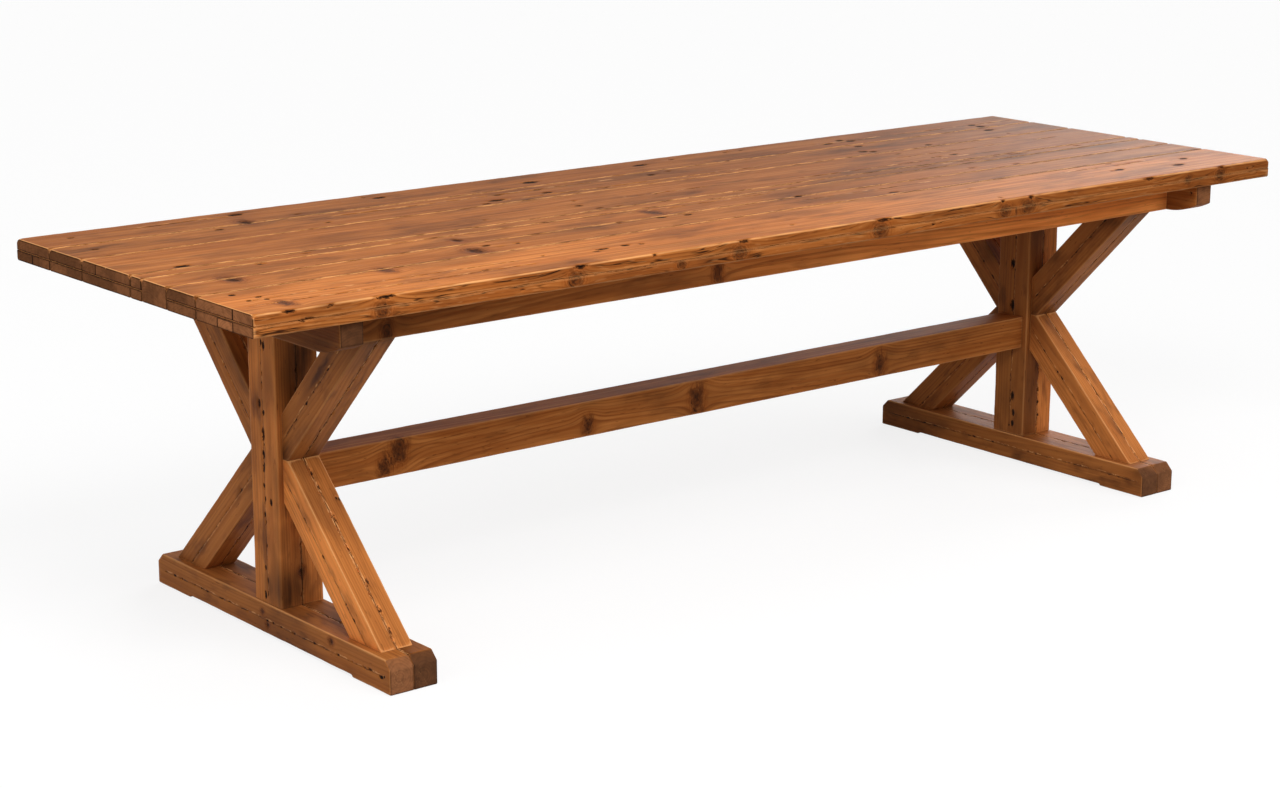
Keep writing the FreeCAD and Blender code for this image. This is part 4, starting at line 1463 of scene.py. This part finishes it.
@dataclass
class Trestle:
    """One trestle: feet, posts, head beams and eight brace timbers, all in pairs."""

    side: str = "left"
    foot_chamfer: float = 0.018
    pad: float = 0.128
    relief: float = 0.004
    pad_slope: float = 4 * MM
    post_tenon: float = 0.040
    brace_depth: float = 0.076
    head_arris: float = 1.5e-3
    post_arris: float = 3.6e-3
    foot_arris: float = 2.6e-3
    brace_arris: float = 2.4e-3
    seam_arris: float = 1.9e-3
    seam_at: float = 1.048
    post_side: float = 0.0485
    nose: float = 0.0175
    crotch: float = 0.368
    seed: int = 60
    timbers: list[Timber] = field(default_factory=list)

    def rounds(self, node: str, arris: float) -> tuple[float, float, float, float]:
        """Small rounds at the seam between a pair and full ones on the outside."""
        low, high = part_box(node)
        if (low[0] + high[0]) / 2 < (-self.seam_at if self.side == "left" else self.seam_at):
            return (arris, self.seam_arris, self.seam_arris, arris)
        return (self.seam_arris, arris, arris, self.seam_arris)

    def build(self) -> None:
        """Sets out the whole trestle."""
        for number, layer in enumerate(("outer", "inner")):
            chance = np.random.default_rng(self.seed + number)
            self.foot(f"{self.side}_foot_{layer}", self.seed + number, chance)
            self.post(f"{self.side}_post_{layer}", self.seed + 4 + number, chance)
            self.head(f"{self.side}_head_{layer}", self.seed + 8 + number)
            for rise, level in enumerate(("lower", "upper")):
                for way, facing in enumerate(("front", "back")):
                    node = f"{self.side}_{level}_{facing}_brace_{layer}"
                    seed = self.seed + 12 + number * 4 + rise * 2 + way
                    self.brace(node, level, facing, seed, chance)
        for timber in self.timbers:
            timber.seams = tuple(k for k in range(4) if timber.rounds[k] == self.seam_arris)

    def centre_split(self, timber: Timber, face: Face, chance: np.random.Generator) -> None:
        """Runs a check down the middle of a face, with pits strung along it."""
        place = float(chance.uniform(-0.1, 0.1)) * timber.hv
        timber.marks.append(Check(face, place, 0.01, timber.length - 0.01, 0.9, 1.0, 1.2))
        half = timber.hw if face in (Face.UNDER, Face.OVER) else timber.hv
        sign = 1 if face in (Face.OVER, Face.BACK) else -1
        spot = 0.02
        while spot < timber.length - 0.02:
            long = float(chance.uniform(2.5, 8.5)) * MM
            depth = float(chance.uniform(1.2, 2.8)) * MM
            level = half * sign
            at = (spot, place, level) if face in (Face.UNDER, Face.OVER) else (spot, level, place)
            timber.marks.append(Pit(at, long, float(chance.uniform(1.8, 3.2)) * MM, depth, 1.0))
            spot += float(chance.uniform(0.018, 0.075))

    def seam_pits(self, timber: Timber, chance: np.random.Generator) -> None:
        """Nibbles the arrises at the seam between the pair."""
        seam = 1 if timber.rounds[1] < timber.rounds[0] else -1
        for way in (-1, 1):
            spot = 0.02
            while spot < timber.length - 0.02:
                at = (spot, way * timber.hv, seam * timber.hw)
                long = float(chance.uniform(2.5, 8.0)) * MM
                timber.marks.append(Pit(at, long, 3.0 * MM, 2.6 * MM, 0.95))
                spot += float(chance.uniform(0.03, 0.11))

    def outer_face(self, timber: Timber) -> Face:
        """The broad face that looks away from the seam."""
        return Face.UNDER if timber.rounds[1] < timber.rounds[0] else Face.OVER

    def foot(self, node: str, seed: int, chance: np.random.Generator) -> None:
        """Sets out one foot timber with its chamfered ends and its relief between the pads."""
        timber = Timber.from_node(
            node, "trestle_timbers", 1, 0, rounds=self.rounds(node, self.foot_arris), seed=seed,
            tone=0.8 if node.endswith("outer") else 0.7, pith=(0.0, 0.0), end_round=1.6e-3,
            pitch=0.02,
        )
        shade = -0.1 if self.side == "right" else -0.06 if node.endswith("outer") else -0.42
        timber.block = (-2.0, 2.0, -2.0, 2.0, shade)
        h, end, cut = timber.hv, timber.length, self.foot_chamfer
        timber.roof_line = ((0, h - cut), (cut, h), (end - cut, h), (end, h - cut))
        lift = -h + self.relief
        timber.floor_line = (
            (0, -h), (self.pad, -h), (self.pad + self.pad_slope, lift),
            (end - self.pad - self.pad_slope, lift), (end - self.pad, -h), (end, -h),
        )
        self.centre_split(timber, self.outer_face(timber), chance)
        self.seam_pits(timber, chance)
        self.timbers.append(timber)

    def post(self, node: str, seed: int, chance: np.random.Generator) -> None:
        """Sets out one post timber."""
        timber = Timber.from_node(
            node, "trestle_timbers", 2, 0, shoulder=self.post_tenon,
            tenon=(self.post_tenon, 0.585, 0.8), rounds=self.rounds(node, self.post_arris), seed=seed,
            # painted shade: the inner right post is darker, where the tabletop shades it
            tone=1.38 if self.side == "left" else 1.4 if node.endswith("outer") else 0.72,
            # painted shade towards the post's ends, where it meets the foot and the braces
            pith=(0.02, 0.05), pitch=0.02, grime=0.35,
        )
        self.centre_split(timber, self.outer_face(timber), chance)
        self.seam_pits(timber, chance)
        self.timbers.append(timber)

    def head(self, node: str, seed: int) -> None:
        """Sets out one head beam timber."""
        timber = Timber.from_node(
            node, "rails", 1, 0, rounds=self.rounds(node, self.head_arris), seed=seed,
            tone=0.85, pith=(0.03, -0.04), pitch=0.03,
        )
        timber.bores = bores_along("head_beam_screws", 0, timber.start[0], 0.012)
        self.timbers.append(timber)

    def brace(
        self, node: str, level: str, facing: str, seed: int, chance: np.random.Generator
    ) -> None:
        """Sets out one brace timber, from its far end up or down to the crotch.

        Args:
            node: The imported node.
            level: Lower or upper.
            facing: Front or back.
            seed: Picks its grain.
            chance: Draws its pits.
        """
        low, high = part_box(node)
        way = -1 if facing == "front" else 1
        far = low[1] if way < 0 else high[1]
        base = low[2] if level == "lower" else high[2]
        crotch = np.array((way * (self.post_side + self.nose), self.crotch))
        outer = np.array((far, base))
        slope = crotch - outer
        span = float(np.linalg.norm(slope))
        slope = slope / span
        depth = self.brace_depth
        normal = np.array((-slope[1], slope[0]))
        if float(normal @ (np.array((0.0, (base + self.crotch) / 2)) - (outer + crotch) / 2)) < 0:
            normal = -normal
        middle = outer + normal * depth / 2
        along = (0.0, float(slope[0]), float(slope[1]))
        # painted light and shade: each brace is lighter or darker by where it stands, faces that turn up
        # are lighter, and braces darken towards their ends; the left lower front brace is painted much
        # lighter, with its upper faces held back
        tone = 0.94 if facing == "back" else 1.06 if level == "lower" else 0.84
        lift, grime = 0.12, 0.9
        if level == "lower" and facing == "front":
            grime = 0.15
            tone, lift = (1.9, -0.68) if self.side == "left" else (tone, lift)
        timber = Timber(
            name=node + "_timber", node=node, slot="trestle_timbers",
            start=((low[0] + high[0]) / 2, float(middle[0]), float(middle[1])),
            along=along, up=(1.0, 0.0, 0.0), length=span, width=depth, thick=high[0] - low[0],
            rounds=self.rounds(node, self.brace_arris), end_round=0.5e-3, seed=seed,
            tone=tone, pith=(0.035, 0.03), pitch=0.018, lift=lift, grime=grime,
        )
        level_cut = depth * span / abs(crotch[1] - outer[1])
        plumb_cut = depth * span / abs(crotch[0] - outer[0])
        inner_base = np.array((far - way * level_cut, base))
        rise = 1 if level == "upper" else -1
        post_top = np.array((way * self.post_side, self.crotch))
        armpit_z = self.crotch + rise * (plumb_cut - self.nose * abs(slope[1] / slope[0]))
        armpit = np.array((way * self.post_side, armpit_z))
        corners = (outer, inner_base, crotch, post_top, armpit)
        local = [timber.inside((timber.start[0], *corner)) for corner in corners]
        timber.low_cut = tuple((float(p[0]), float(p[1])) for p in local[:2])
        timber.high_cut = tuple((float(p[0]), float(p[1])) for p in local[2:])
        self.centre_split(timber, self.outer_face(timber), chance)
        self.seam_pits(timber, chance)
        self.timbers.append(timber)


@dataclass
class Stretcher:
    """The long beam between the trestles."""

    arris: float = 2.4e-3
    tenon: float = 0.038
    timbers: list[Timber] = field(default_factory=list)

    def build(self) -> None:
        """Sets out the beam."""
        self.timbers.append(Timber.from_node(
            "stretcher", "stretcher", 0, 2, shoulder=self.tenon, tenon=(self.tenon, 0.66, 0.66),
            rounds=(self.arris,) * 4, seed=95, tone=0.77, pith=(0.025, -0.05), pitch=0.02,
        ))


# ---------------------------------------------------------------- sighted marks


SEEN_MARKS: tuple[Seen, ...] = (
    # knots on the upper face
    Seen(Kind.KNOT, 246.1, 222.2, 14, 21, 0.7),
    Seen(Kind.KNOT, 476.0, 250.6, 16, 25, 0.7),
    Seen(Kind.KNOT, 386.0, 270.0, 12, 19, 0.0),
    Seen(Kind.KNOT, 653.5, 212.4, 14, 21, 0.0),
    Seen(Kind.KNOT, 286.0, 303.0, 11, 17, 0.0),
    Seen(Kind.KNOT, 232.0, 279.3, 15, 23, 0.7),
    Seen(Kind.KNOT, 456.5, 240.2, 10, 15, 0.7),
    # gaps and holes on the upper face
    Seen(Kind.PIT, 235.3, 214.6, 18.2, 8.6, 1.6),
    Seen(Kind.PIT, 379.5, 197.5, 18.2, 8.6, 1.6),
    Seen(Kind.PIT, 182.0, 266.0, 17.2, 9.6, 1.6),
    Seen(Kind.PIT, 219.5, 229.4, 11.5, 5.8, 1.6),
    Seen(Kind.PIT, 232.0, 294.9, 8, 6.7, 1.6),
    Seen(Kind.PIT, 258.5, 296.6, 8, 5.8, 1.6),
    Seen(Kind.PIT, 249.0, 300.5, 5.8, 6, 1.6),
    Seen(Kind.PIT, 267.0, 298.8, 5.8, 6, 1.6),
    Seen(Kind.PIT, 485.7, 245.6, 11.1, 5.8, 1.6),
    Seen(Kind.PIT, 530.0, 182.2, 24.3, 11.5, 1.6),
    Seen(Kind.PIT, 547.3, 192.4, 14.2, 7.7, 1.6),
    Seen(Kind.PIT, 537.0, 189.6, 11.5, 5.8, 1.6),
    Seen(Kind.PIT, 496.3, 200.2, 26.3, 7.7, 1.6),
    Seen(Kind.PIT, 487.0, 203.7, 11.5, 5.8, 1.6),
    Seen(Kind.PIT, 640.2, 165.1, 22.3, 9.6, 1.6),
    Seen(Kind.PIT, 651.4, 174.7, 11.5, 7.7, 1.6),
    Seen(Kind.PIT, 661.6, 217.1, 14.2, 6.7, 1.6),
    Seen(Kind.PIT, 688.0, 214.5, 11.1, 5.8, 1.6),
    Seen(Kind.PIT, 602.4, 248.8, 17.2, 6, 1.6),
    Seen(Kind.PIT, 624.9, 245.1, 11.1, 6.7, 1.6),
    Seen(Kind.PIT, 839.4, 140.4, 12.1, 9.6, 1.6),
    Seen(Kind.PIT, 850.9, 140.8, 14.2, 9.6, 1.6),
    Seen(Kind.PIT, 827.0, 143.8, 17.2, 7.7, 1.6),
    Seen(Kind.PIT, 858.5, 146.1, 14.2, 7.7, 1.6),
    Seen(Kind.PIT, 863.3, 151.5, 14.2, 9.6, 1.6),
    Seen(Kind.PIT, 872.9, 151.5, 11.1, 7.7, 1.6),
    Seen(Kind.PIT, 980.0, 126.4, 12.1, 11.5, 1.6),
    Seen(Kind.PIT, 988.6, 129.9, 17.2, 9.6, 1.6),
    Seen(Kind.PIT, 971.4, 125.1, 12.1, 9.6, 1.6),
    Seen(Kind.PIT, 928.4, 144.6, 11.5, 7.7, 1.6),
    Seen(Kind.PIT, 953.2, 154.2, 14.2, 5.8, 1.6),
    Seen(Kind.PIT, 798.3, 196.1, 12.1, 6.7, 1.6),
    Seen(Kind.PIT, 893.9, 192.0, 19.2, 5.8, 1.6),
    Seen(Kind.PIT, 1119.5, 169.5, 14.2, 9.6, 1.6),
    Seen(Kind.PIT, 1178.6, 164.6, 19.2, 9.6, 1.6),
    Seen(Kind.PIT, 1183.3, 158.5, 14.2, 7.7, 1.6),
    # knots along the front edge
    Seen(Kind.KNOT, 383.0, 311.6, 15, 14, 0.0),
    Seen(Kind.KNOT, 576.0, 279.6, 17, 14, 0.0),
    Seen(Kind.KNOT, 740.0, 253.4, 17, 13, 0.0),
    Seen(Kind.KNOT, 682.0, 264.8, 11, 8, 0.0),
    Seen(Kind.KNOT, 881.0, 230.4, 20, 14, 0.0),
    Seen(Kind.KNOT, 1006.0, 211.0, 15, 12, 0.0),
    Seen(Kind.KNOT, 1029.0, 206.4, 19, 13, 0.0),
    Seen(Kind.KNOT, 1220.0, 175.0, 16, 12, 0.0),
    Seen(Kind.KNOT, 1188.0, 180.0, 11, 9, 0.0),
    # chips out of the front arris
    Seen(Kind.PIT, 289.0, 311.0, 16, 5.5, 3.6),
    Seen(Kind.PIT, 331.8, 304.6, 8, 4.5, 2.8),
    Seen(Kind.PIT, 386.0, 296.2, 24, 6.0, 3.8),
    Seen(Kind.PIT, 582.0, 266.2, 18, 6.5, 4.4),
    Seen(Kind.PIT, 655.5, 254.6, 7, 4.5, 2.6),
    Seen(Kind.PIT, 745.3, 240.8, 16, 6.0, 4.0),
    Seen(Kind.PIT, 884.4, 219.4, 23, 6.5, 4.2),
    Seen(Kind.PIT, 1003.9, 200.6, 7, 5.5, 3.3),
    Seen(Kind.PIT, 1032.0, 196.6, 9, 6.0, 3.9),
    Seen(Kind.PIT, 1150.9, 178.2, 21, 5.5, 3.6, 0.9),
    Seen(Kind.PIT, 1222.0, 166.6, 14, 5.0, 3.4),
    # worm holes in the front edge
    Seen(Kind.PIT, 310.0, 318.4, 11, 3.2, 3.1),
    Seen(Kind.PIT, 266.8, 328.0, 10, 3.0, 2.6),
    Seen(Kind.PIT, 329.4, 307.2, 7, 3.0, 2.4),
    Seen(Kind.PIT, 302.6, 320.7, 8, 3.4, 2.8),
    Seen(Kind.PIT, 645.3, 267.9, 4, 3.0, 2.6),
    Seen(Kind.PIT, 522.9, 289.6, 6, 3.0, 2.6),
    Seen(Kind.PIT, 934.0, 225.0, 6, 3.4, 2.8),
    Seen(Kind.PIT, 799.0, 244.4, 6, 3.0, 2.6),
    Seen(Kind.PIT, 1248.0, 168.0, 5, 3.0, 2.6),
    Seen(Kind.PIT, 1253.5, 166.8, 5, 3.0, 2.6),
    Seen(Kind.PIT, 1257.2, 172.0, 6, 3.6, 2.8),
    Seen(Kind.PIT, 1190.7, 193.2, 4, 3.9, 2.9),
    # aprons
    Seen(Kind.KNOT, 717.8, 272.7, 10, 24, 0.0),
    Seen(Kind.KNOT, 387.0, 336.0, 10, 22, 0.0),
    # left post
    Seen(Kind.PIT, 262.4, 345.4, 11.2, 5.1, 3.0),
    Seen(Kind.PIT, 258.6, 403.3, 11.2, 5.5, 3.5),
    Seen(Kind.PIT, 262.9, 412.8, 6.7, 4.3, 2.5),
    Seen(Kind.PIT, 262.4, 434.4, 16.8, 6.2, 4.0),
    Seen(Kind.PIT, 262.9, 454.9, 11.2, 5.9, 3.5),
    Seen(Kind.PIT, 263.2, 468.4, 9, 4.7, 3.0),
    Seen(Kind.PIT, 263.7, 485.6, 6.7, 4.3, 2.5),
    Seen(Kind.PIT, 270.6, 502.8, 10.1, 5.1, 3.0),
    Seen(Kind.PIT, 264.6, 514.4, 6.7, 4.3, 2.5),
    Seen(Kind.PIT, 265.5, 567.7, 6.7, 3.9, 2.0),
    Seen(Kind.PIT, 265.5, 594.9, 10.1, 4.7, 2.5),
    Seen(Kind.KNOT, 301.5, 571.7, 8, 7, 0.6),
    # right post
    Seen(Kind.PIT, 1012.6, 263.2, 14.6, 7, 4.0),
    Seen(Kind.PIT, 1011.8, 305.3, 15.7, 7, 4.0),
    Seen(Kind.PIT, 1011.8, 395.8, 13.4, 6.2, 3.5),
    Seen(Kind.PIT, 1012.6, 412.6, 10.1, 5.5, 3.0),
    Seen(Kind.PIT, 1011.8, 423.2, 10.1, 5.5, 3.0),
    Seen(Kind.PIT, 1038.0, 389.5, 5.6, 4.3, 2.5),
    Seen(Kind.PIT, 1038.0, 402.0, 5.6, 4.3, 2.5),
    Seen(Kind.PIT, 1038.0, 414.7, 5.6, 4.3, 2.5),
    # left lower front brace
    Seen(Kind.PIT, 311.0, 471.8, 11.2, 4, 3.3),
    Seen(Kind.PIT, 319.1, 486.5, 8.4, 3.5, 2.9),
    Seen(Kind.PIT, 335.4, 518.3, 12.5, 3.5, 2.9),
    Seen(Kind.PIT, 348.7, 548.8, 8.4, 3.5, 2.9),
    Seen(Kind.PIT, 368.1, 582.0, 11.2, 4, 3.3),
    Seen(Kind.PIT, 379.9, 609.5, 12.5, 3.8, 3.3),
    Seen(Kind.PIT, 390.4, 630.7, 12.5, 4, 3.3),
    Seen(Kind.PIT, 339.5, 498.5, 4.3, 3.1, 2.4),
    Seen(Kind.PIT, 336.7, 497.6, 4.3, 3.1, 2.2),
    Seen(Kind.KNOT, 381.5, 573.5, 12, 10, 0.0),
    # left foot
    Seen(Kind.KNOT, 262.4, 611.3, 6, 5, 0.0),
    Seen(Kind.KNOT, 267.5, 625.0, 7, 6, 0.6),
    Seen(Kind.KNOT, 330.7, 641.4, 7, 6, 0.6),
    Seen(Kind.PIT, 370.0, 669.8, 9, 3, 2.2),
    Seen(Kind.PIT, 381.0, 677.5, 8, 4.5, 2.2),
    # dark clouds: stains in the wood, and painted shade on the trestles where the tabletop and the
    # braces shade them
    Seen(Kind.STAIN_AND_SHADE, 290.0, 592.0, 95, 62, 0.0, 1.0),
    Seen(Kind.STAIN_AND_SHADE, 289.0, 600.0, 45, 34, 0.0, 1.0),
    # painted shadow on the inner face of the left upper back brace
    Seen(Kind.STAIN_AND_SHADE, 238.0, 364.0, 70, 40, 0.0, 0.6),
    # painted shadow on the inner face of the right upper back brace
    Seen(Kind.STAIN_AND_SHADE, 990.0, 251.0, 60, 40, 0.0, 0.7),
    Seen(Kind.STAIN_AND_SHADE, 283.0, 484.0, 90, 26, 0.0, 0.7),
    Seen(Kind.STAIN_AND_SHADE, 284.0, 540.0, 70, 24, 0.0, 0.6),
    Seen(Kind.STAIN_AND_SHADE, 296.0, 362.0, 130, 60, 0.0, 0.9),
    Seen(Kind.STAIN_AND_SHADE, 378.0, 558.0, 40, 16, 0.0, 0.5),
    Seen(Kind.STAIN_AND_SHADE, 383.0, 578.0, 22, 14, 0.0, 0.55),
    Seen(Kind.STAIN_AND_SHADE, 905.0, 170.0, 238, 41, 0.0, 0.54),
    Seen(Kind.STAIN_AND_SHADE, 1000.0, 160.0, 200, 34, 0.0, 0.51),
    Seen(Kind.STAIN_AND_SHADE, 1103.0, 146.0, 188, 34, 0.0, 0.46),
    Seen(Kind.STAIN_AND_SHADE, 800.0, 190.0, 175, 38, 0.0, 0.38),
    Seen(Kind.STAIN_AND_SHADE, 254.0, 290.0, 75, 38, 0.0, 0.38),
    Seen(Kind.STAIN_AND_SHADE, 330.0, 303.0, 75, 45, 0.0, 0.33),
    Seen(Kind.STAIN_AND_SHADE, 232.0, 271.0, 112, 52, 0.0, 0.41),
    Seen(Kind.STAIN_AND_SHADE, 330.0, 239.0, 100, 45, 0.0, 0.31),
    Seen(Kind.STAIN_AND_SHADE, 455.0, 262.0, 112, 38, 0.0, 0.38),
    Seen(Kind.STAIN_AND_SHADE, 560.0, 232.0, 100, 45, 0.0, 0.31),
    Seen(Kind.STAIN_AND_SHADE, 705.0, 241.0, 160, 36, 0.0, 0.42),
    Seen(Kind.STAIN_AND_SHADE, 620.0, 205.0, 125, 38, 0.0, 0.31),
    Seen(Kind.STAIN_AND_SHADE, 700.0, 152.0, 150, 45, 0.0, 0.38),
    Seen(Kind.STAIN_AND_SHADE, 1140.0, 470.0, 20, 40, 0.0, 0.4),
    Seen(Kind.STAIN_AND_SHADE, 1006.0, 402.0, 60, 26, 0.0, 0.4),
    # stretcher
    Seen(Kind.KNOT, 399.2, 449.5, 14, 22, 0.0),
    Seen(Kind.KNOT, 384.6, 466.7, 11, 15, 0.3),
    Seen(Kind.KNOT, 588.0, 426.4, 10, 15, 0.0),
    Seen(Kind.KNOT, 697.0, 399.5, 15, 25, 0.0),
    Seen(Kind.KNOT, 880.0, 364.5, 12, 20, 0.0),
)


def place_seen(eye: Eye, timbers: Sequence[Timber]) -> int:
    """Carries the sighted marks onto the timbers that the lines of sight meet.

    Args:
        eye: The camera.
        timbers: Every timber of the table.

    Returns:
        How many marks met a timber.
    """
    placed = 0
    for mark in SEEN_MARKS:
        spot, line = eye.ray(Sight(mark.across, mark.down))
        hits = [(t.struck(spot, line), t) for t in timbers]
        (distance, axis, local), struck = min(hits, key=lambda hit: hit[0][0])
        if not math.isfinite(distance):
            LOG.warning("a mark at %.0f, %.0f meets nothing", mark.across, mark.down)
            continue
        placed += 1
        where = struck.outside(local)
        for timber in timbers:
            if timber.slot != struck.slot or abs(timber.axis_u @ struck.axis_u) < 0.95:
                continue
            mine = timber.inside(where)
            room = (min(mark.long, mark.wide) if mark.kind is Kind.KNOT else mark.wide) * MM
            over = np.abs(mine - np.array((timber.length / 2, 0, 0)))
            if (over > np.array((timber.length / 2, timber.hv, timber.hw)) + room).any():
                continue
            at = tuple(float(c) for c in mine)
            if mark.kind is Kind.KNOT and axis > 0:
                reach = 0.012 + mark.long * MM
                size = (mark.long * MM, mark.wide * MM)
                timber.marks.append(Knot(at, axis, *size, 0.8 * mark.deep, reach))
            elif mark.kind is Kind.STAIN_AND_SHADE:
                timber.marks.append(StainAndShade(at, mark.long * MM, mark.wide * MM, mark.dark))
            else:
                pit = Pit(at, mark.long * MM, mark.wide * MM, mark.deep * MM, mark.dark)
                timber.marks.append(pit)
    return placed


# ---------------------------------------------------------------- studio


@dataclass(frozen=True)
class Studio:
    """A pale floor under soft light."""

    floor_size: float = 60.0
    sky: float = 0.1
    key: float = 73.0
    key_place: Triple = (-1.7, -2.5, 3.2)
    key_size: float = 1.8
    key_aim: Triple = (0.0, 0.0, 0.5)
    front: float = 1.15
    front_from: Triple = (0.4, -1.0, 0.75)
    left: float = 0.85
    left_from: Triple = (-1.0, -0.35, 0.5)
    top: float = 0.6
    back: float = 1.6
    back_from: Triple = (0.875, 0.399, 0.276)
    spread: float = 40.0
    top_spread: float = 60.0
    lamp_distance: float = 4.0

    def build(self) -> None:
        """Makes the floor, the sky and the lamps."""
        bpy.context.scene.view_settings.view_transform = "Standard"
        self.floor()
        self.heavens()
        self.soft_box("key")
        self.lamp("front", self.front, self.front_from, self.spread)
        self.lamp("left", self.left, self.left_from, self.spread)
        self.lamp("top", self.top, (0.0, 0.0, 1.0), self.top_spread)
        self.lamp("back", self.back, self.back_from, self.spread)

    def hang(self, name: str, data: bpy.types.Light, place: Vector, backwards: Vector) -> None:
        """Hangs a light, turned so that its back points `backwards`."""
        light = new_object(name, data)
        light.location = place
        light.rotation_mode = "QUATERNION"
        light.rotation_quaternion = backwards.to_track_quat("Z", "Y")

    def soft_box(self, name: str) -> None:
        """Hangs the round soft box that shines at the table."""
        data = bpy.data.lights.new(name, "AREA")
        data.shape = "DISK"
        data.energy = self.key
        data.size = self.key_size
        place = Vector(self.key_place)
        self.hang(name, data, place, place - Vector(self.key_aim))

    def seen_white(self, bench: Bench) -> Wire:
        """1 for rays that look straight at the background or see it reflected."""
        path = bench.node("ShaderNodeLightPath", {}, {}, 0)
        outs = path.socket.node.outputs
        glossy = Wire(bench, outs["Is Glossy Ray"])
        through = Wire(bench, outs["Is Transmission Ray"])
        return path.most(glossy).most(through)

    def floor(self) -> None:
        """Makes the floor, which shows white but keeps a soft shadow."""
        half = self.floor_size / 2
        mesh = bpy.data.meshes.new("studio_floor")
        corners = [(-half, -half, -MM), (half, -half, -MM), (half, half, -MM), (-half, half, -MM)]
        mesh.from_pydata(corners, [], [(0, 1, 2, 3)])
        floor = new_object("studio_floor", mesh)
        material, bench = new_material("studio_floor")
        plain = bench.node("ShaderNodeBsdfDiffuse", {}, {0: (0.5, 0.5, 0.5)})
        faint = bench.node("ShaderNodeBsdfDiffuse", {}, {0: (0.2, 0.2, 0.2)})
        glow = bench.node("ShaderNodeEmission", {}, {0: (1.0, 1.0, 1.0), 1: 0.82})
        bright = bench.node("ShaderNodeAddShader", {}, {0: faint, 1: glow})
        wires = {0: self.seen_white(bench), 1: plain, 2: bright}
        bench.finish("ShaderNodeOutputMaterial", bench.node("ShaderNodeMixShader", {}, wires))
        mesh.materials.append(material)

    def heavens(self) -> None:
        """Makes the sky: white to look at, softer as a light."""
        world = bpy.data.worlds.new("studio_sky")
        world.use_nodes = True
        bench = Bench(world.node_tree)
        soft = bench.node("ShaderNodeBackground", {}, {0: (1.0, 1.0, 1.0), 1: self.sky})
        white = bench.node("ShaderNodeBackground", {}, {0: (1.0, 1.0, 1.0), 1: 1.0})
        wires = {0: self.seen_white(bench), 1: soft, 2: white}
        bench.finish("ShaderNodeOutputWorld", bench.node("ShaderNodeMixShader", {}, wires))
        bpy.context.scene.world = world

    def lamp(self, name: str, strength: float, origin: Triple, spread: float) -> None:
        """Hangs a wide soft lamp that shines from a direction."""
        data = bpy.data.lights.new(name, "SUN")
        data.energy = strength
        data.angle = math.radians(spread)
        self.hang(name, data, Vector(origin) * self.lamp_distance, Vector(origin))


def dress_hardware() -> None:
    """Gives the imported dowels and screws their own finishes."""
    beech = DowelFinish().make()
    zinc = ScrewFinish().make()
    for name, node in sorted(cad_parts.items()):
        if name.endswith(("_dowels", "_screws")):
            node.data.materials.clear()
            node.data.materials.append(beech if name.endswith("_dowels") else zinc)
            LOG.info("finished %s", name)


def main() -> None:
    """Builds the studio, the table and its finishes."""
    logging.basicConfig(level=logging.INFO, format="%(message)s")
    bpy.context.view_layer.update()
    eye = Eye()
    eye.build()
    Studio().build()
    assemblies = (Tabletop(), Rails(), Trestle("left", seed=60), Trestle("right", seed=120), Stretcher())
    for assembly in assemblies:
        assembly.build()
    timbers = [t for assembly in assemblies for t in assembly.timbers]
    LOG.info("%d sighted marks placed", place_seen(eye, timbers))
    finishes = {
        "top_boards": PineFinish(
            "worn_top_pine", side_shade=0.45, line_scale=2.2, wear_from=0.5, wear_highlight_depth=0.95,
            wear_run=0.1, gap_width=2.4, side_cracks=1.0, ridge_light=0.85, stain_depth=0.72,
            beat=18.0, gloss=0.007, roughness=0.3, side_flecks=0.12, end_outline=0.85,
            side_wear=0.25, side_depth=0.6, knot_ragged=0.5, mottle_depth=0.55,
        ).make(),
        "rails": PineFinish("rail_pine", seam_dark=0.35, seam_light=0.3).make(),
        "trestle_timbers": PineFinish(
            "trestle_pine", honey=paint(182, 109, 53), line_scale=1.3, ring_depth=0.4,
            side_depth=0.1, streak_depth=0.5, gloss=0.075, wear_highlight_depth=0.75, seam_dark=1.0,
            seam_light=0.6, stain_depth=0.78, mottle_depth=0.85, ridge_light=0.55,
        ).make(),
        "stretcher": PineFinish(
            "beam_pine", seam_dark=0.3, seam_light=0.4, knot_ragged=1.0, knot_flame=0.85,
        ).make(),
    }
    for timber in timbers:
        piece = timber.build(finishes[timber.slot])
        LOG.info("made %s with %d faces", piece.name, len(piece.data.polygons))
    dress_hardware()


if __name__ == "__main__":
    main()
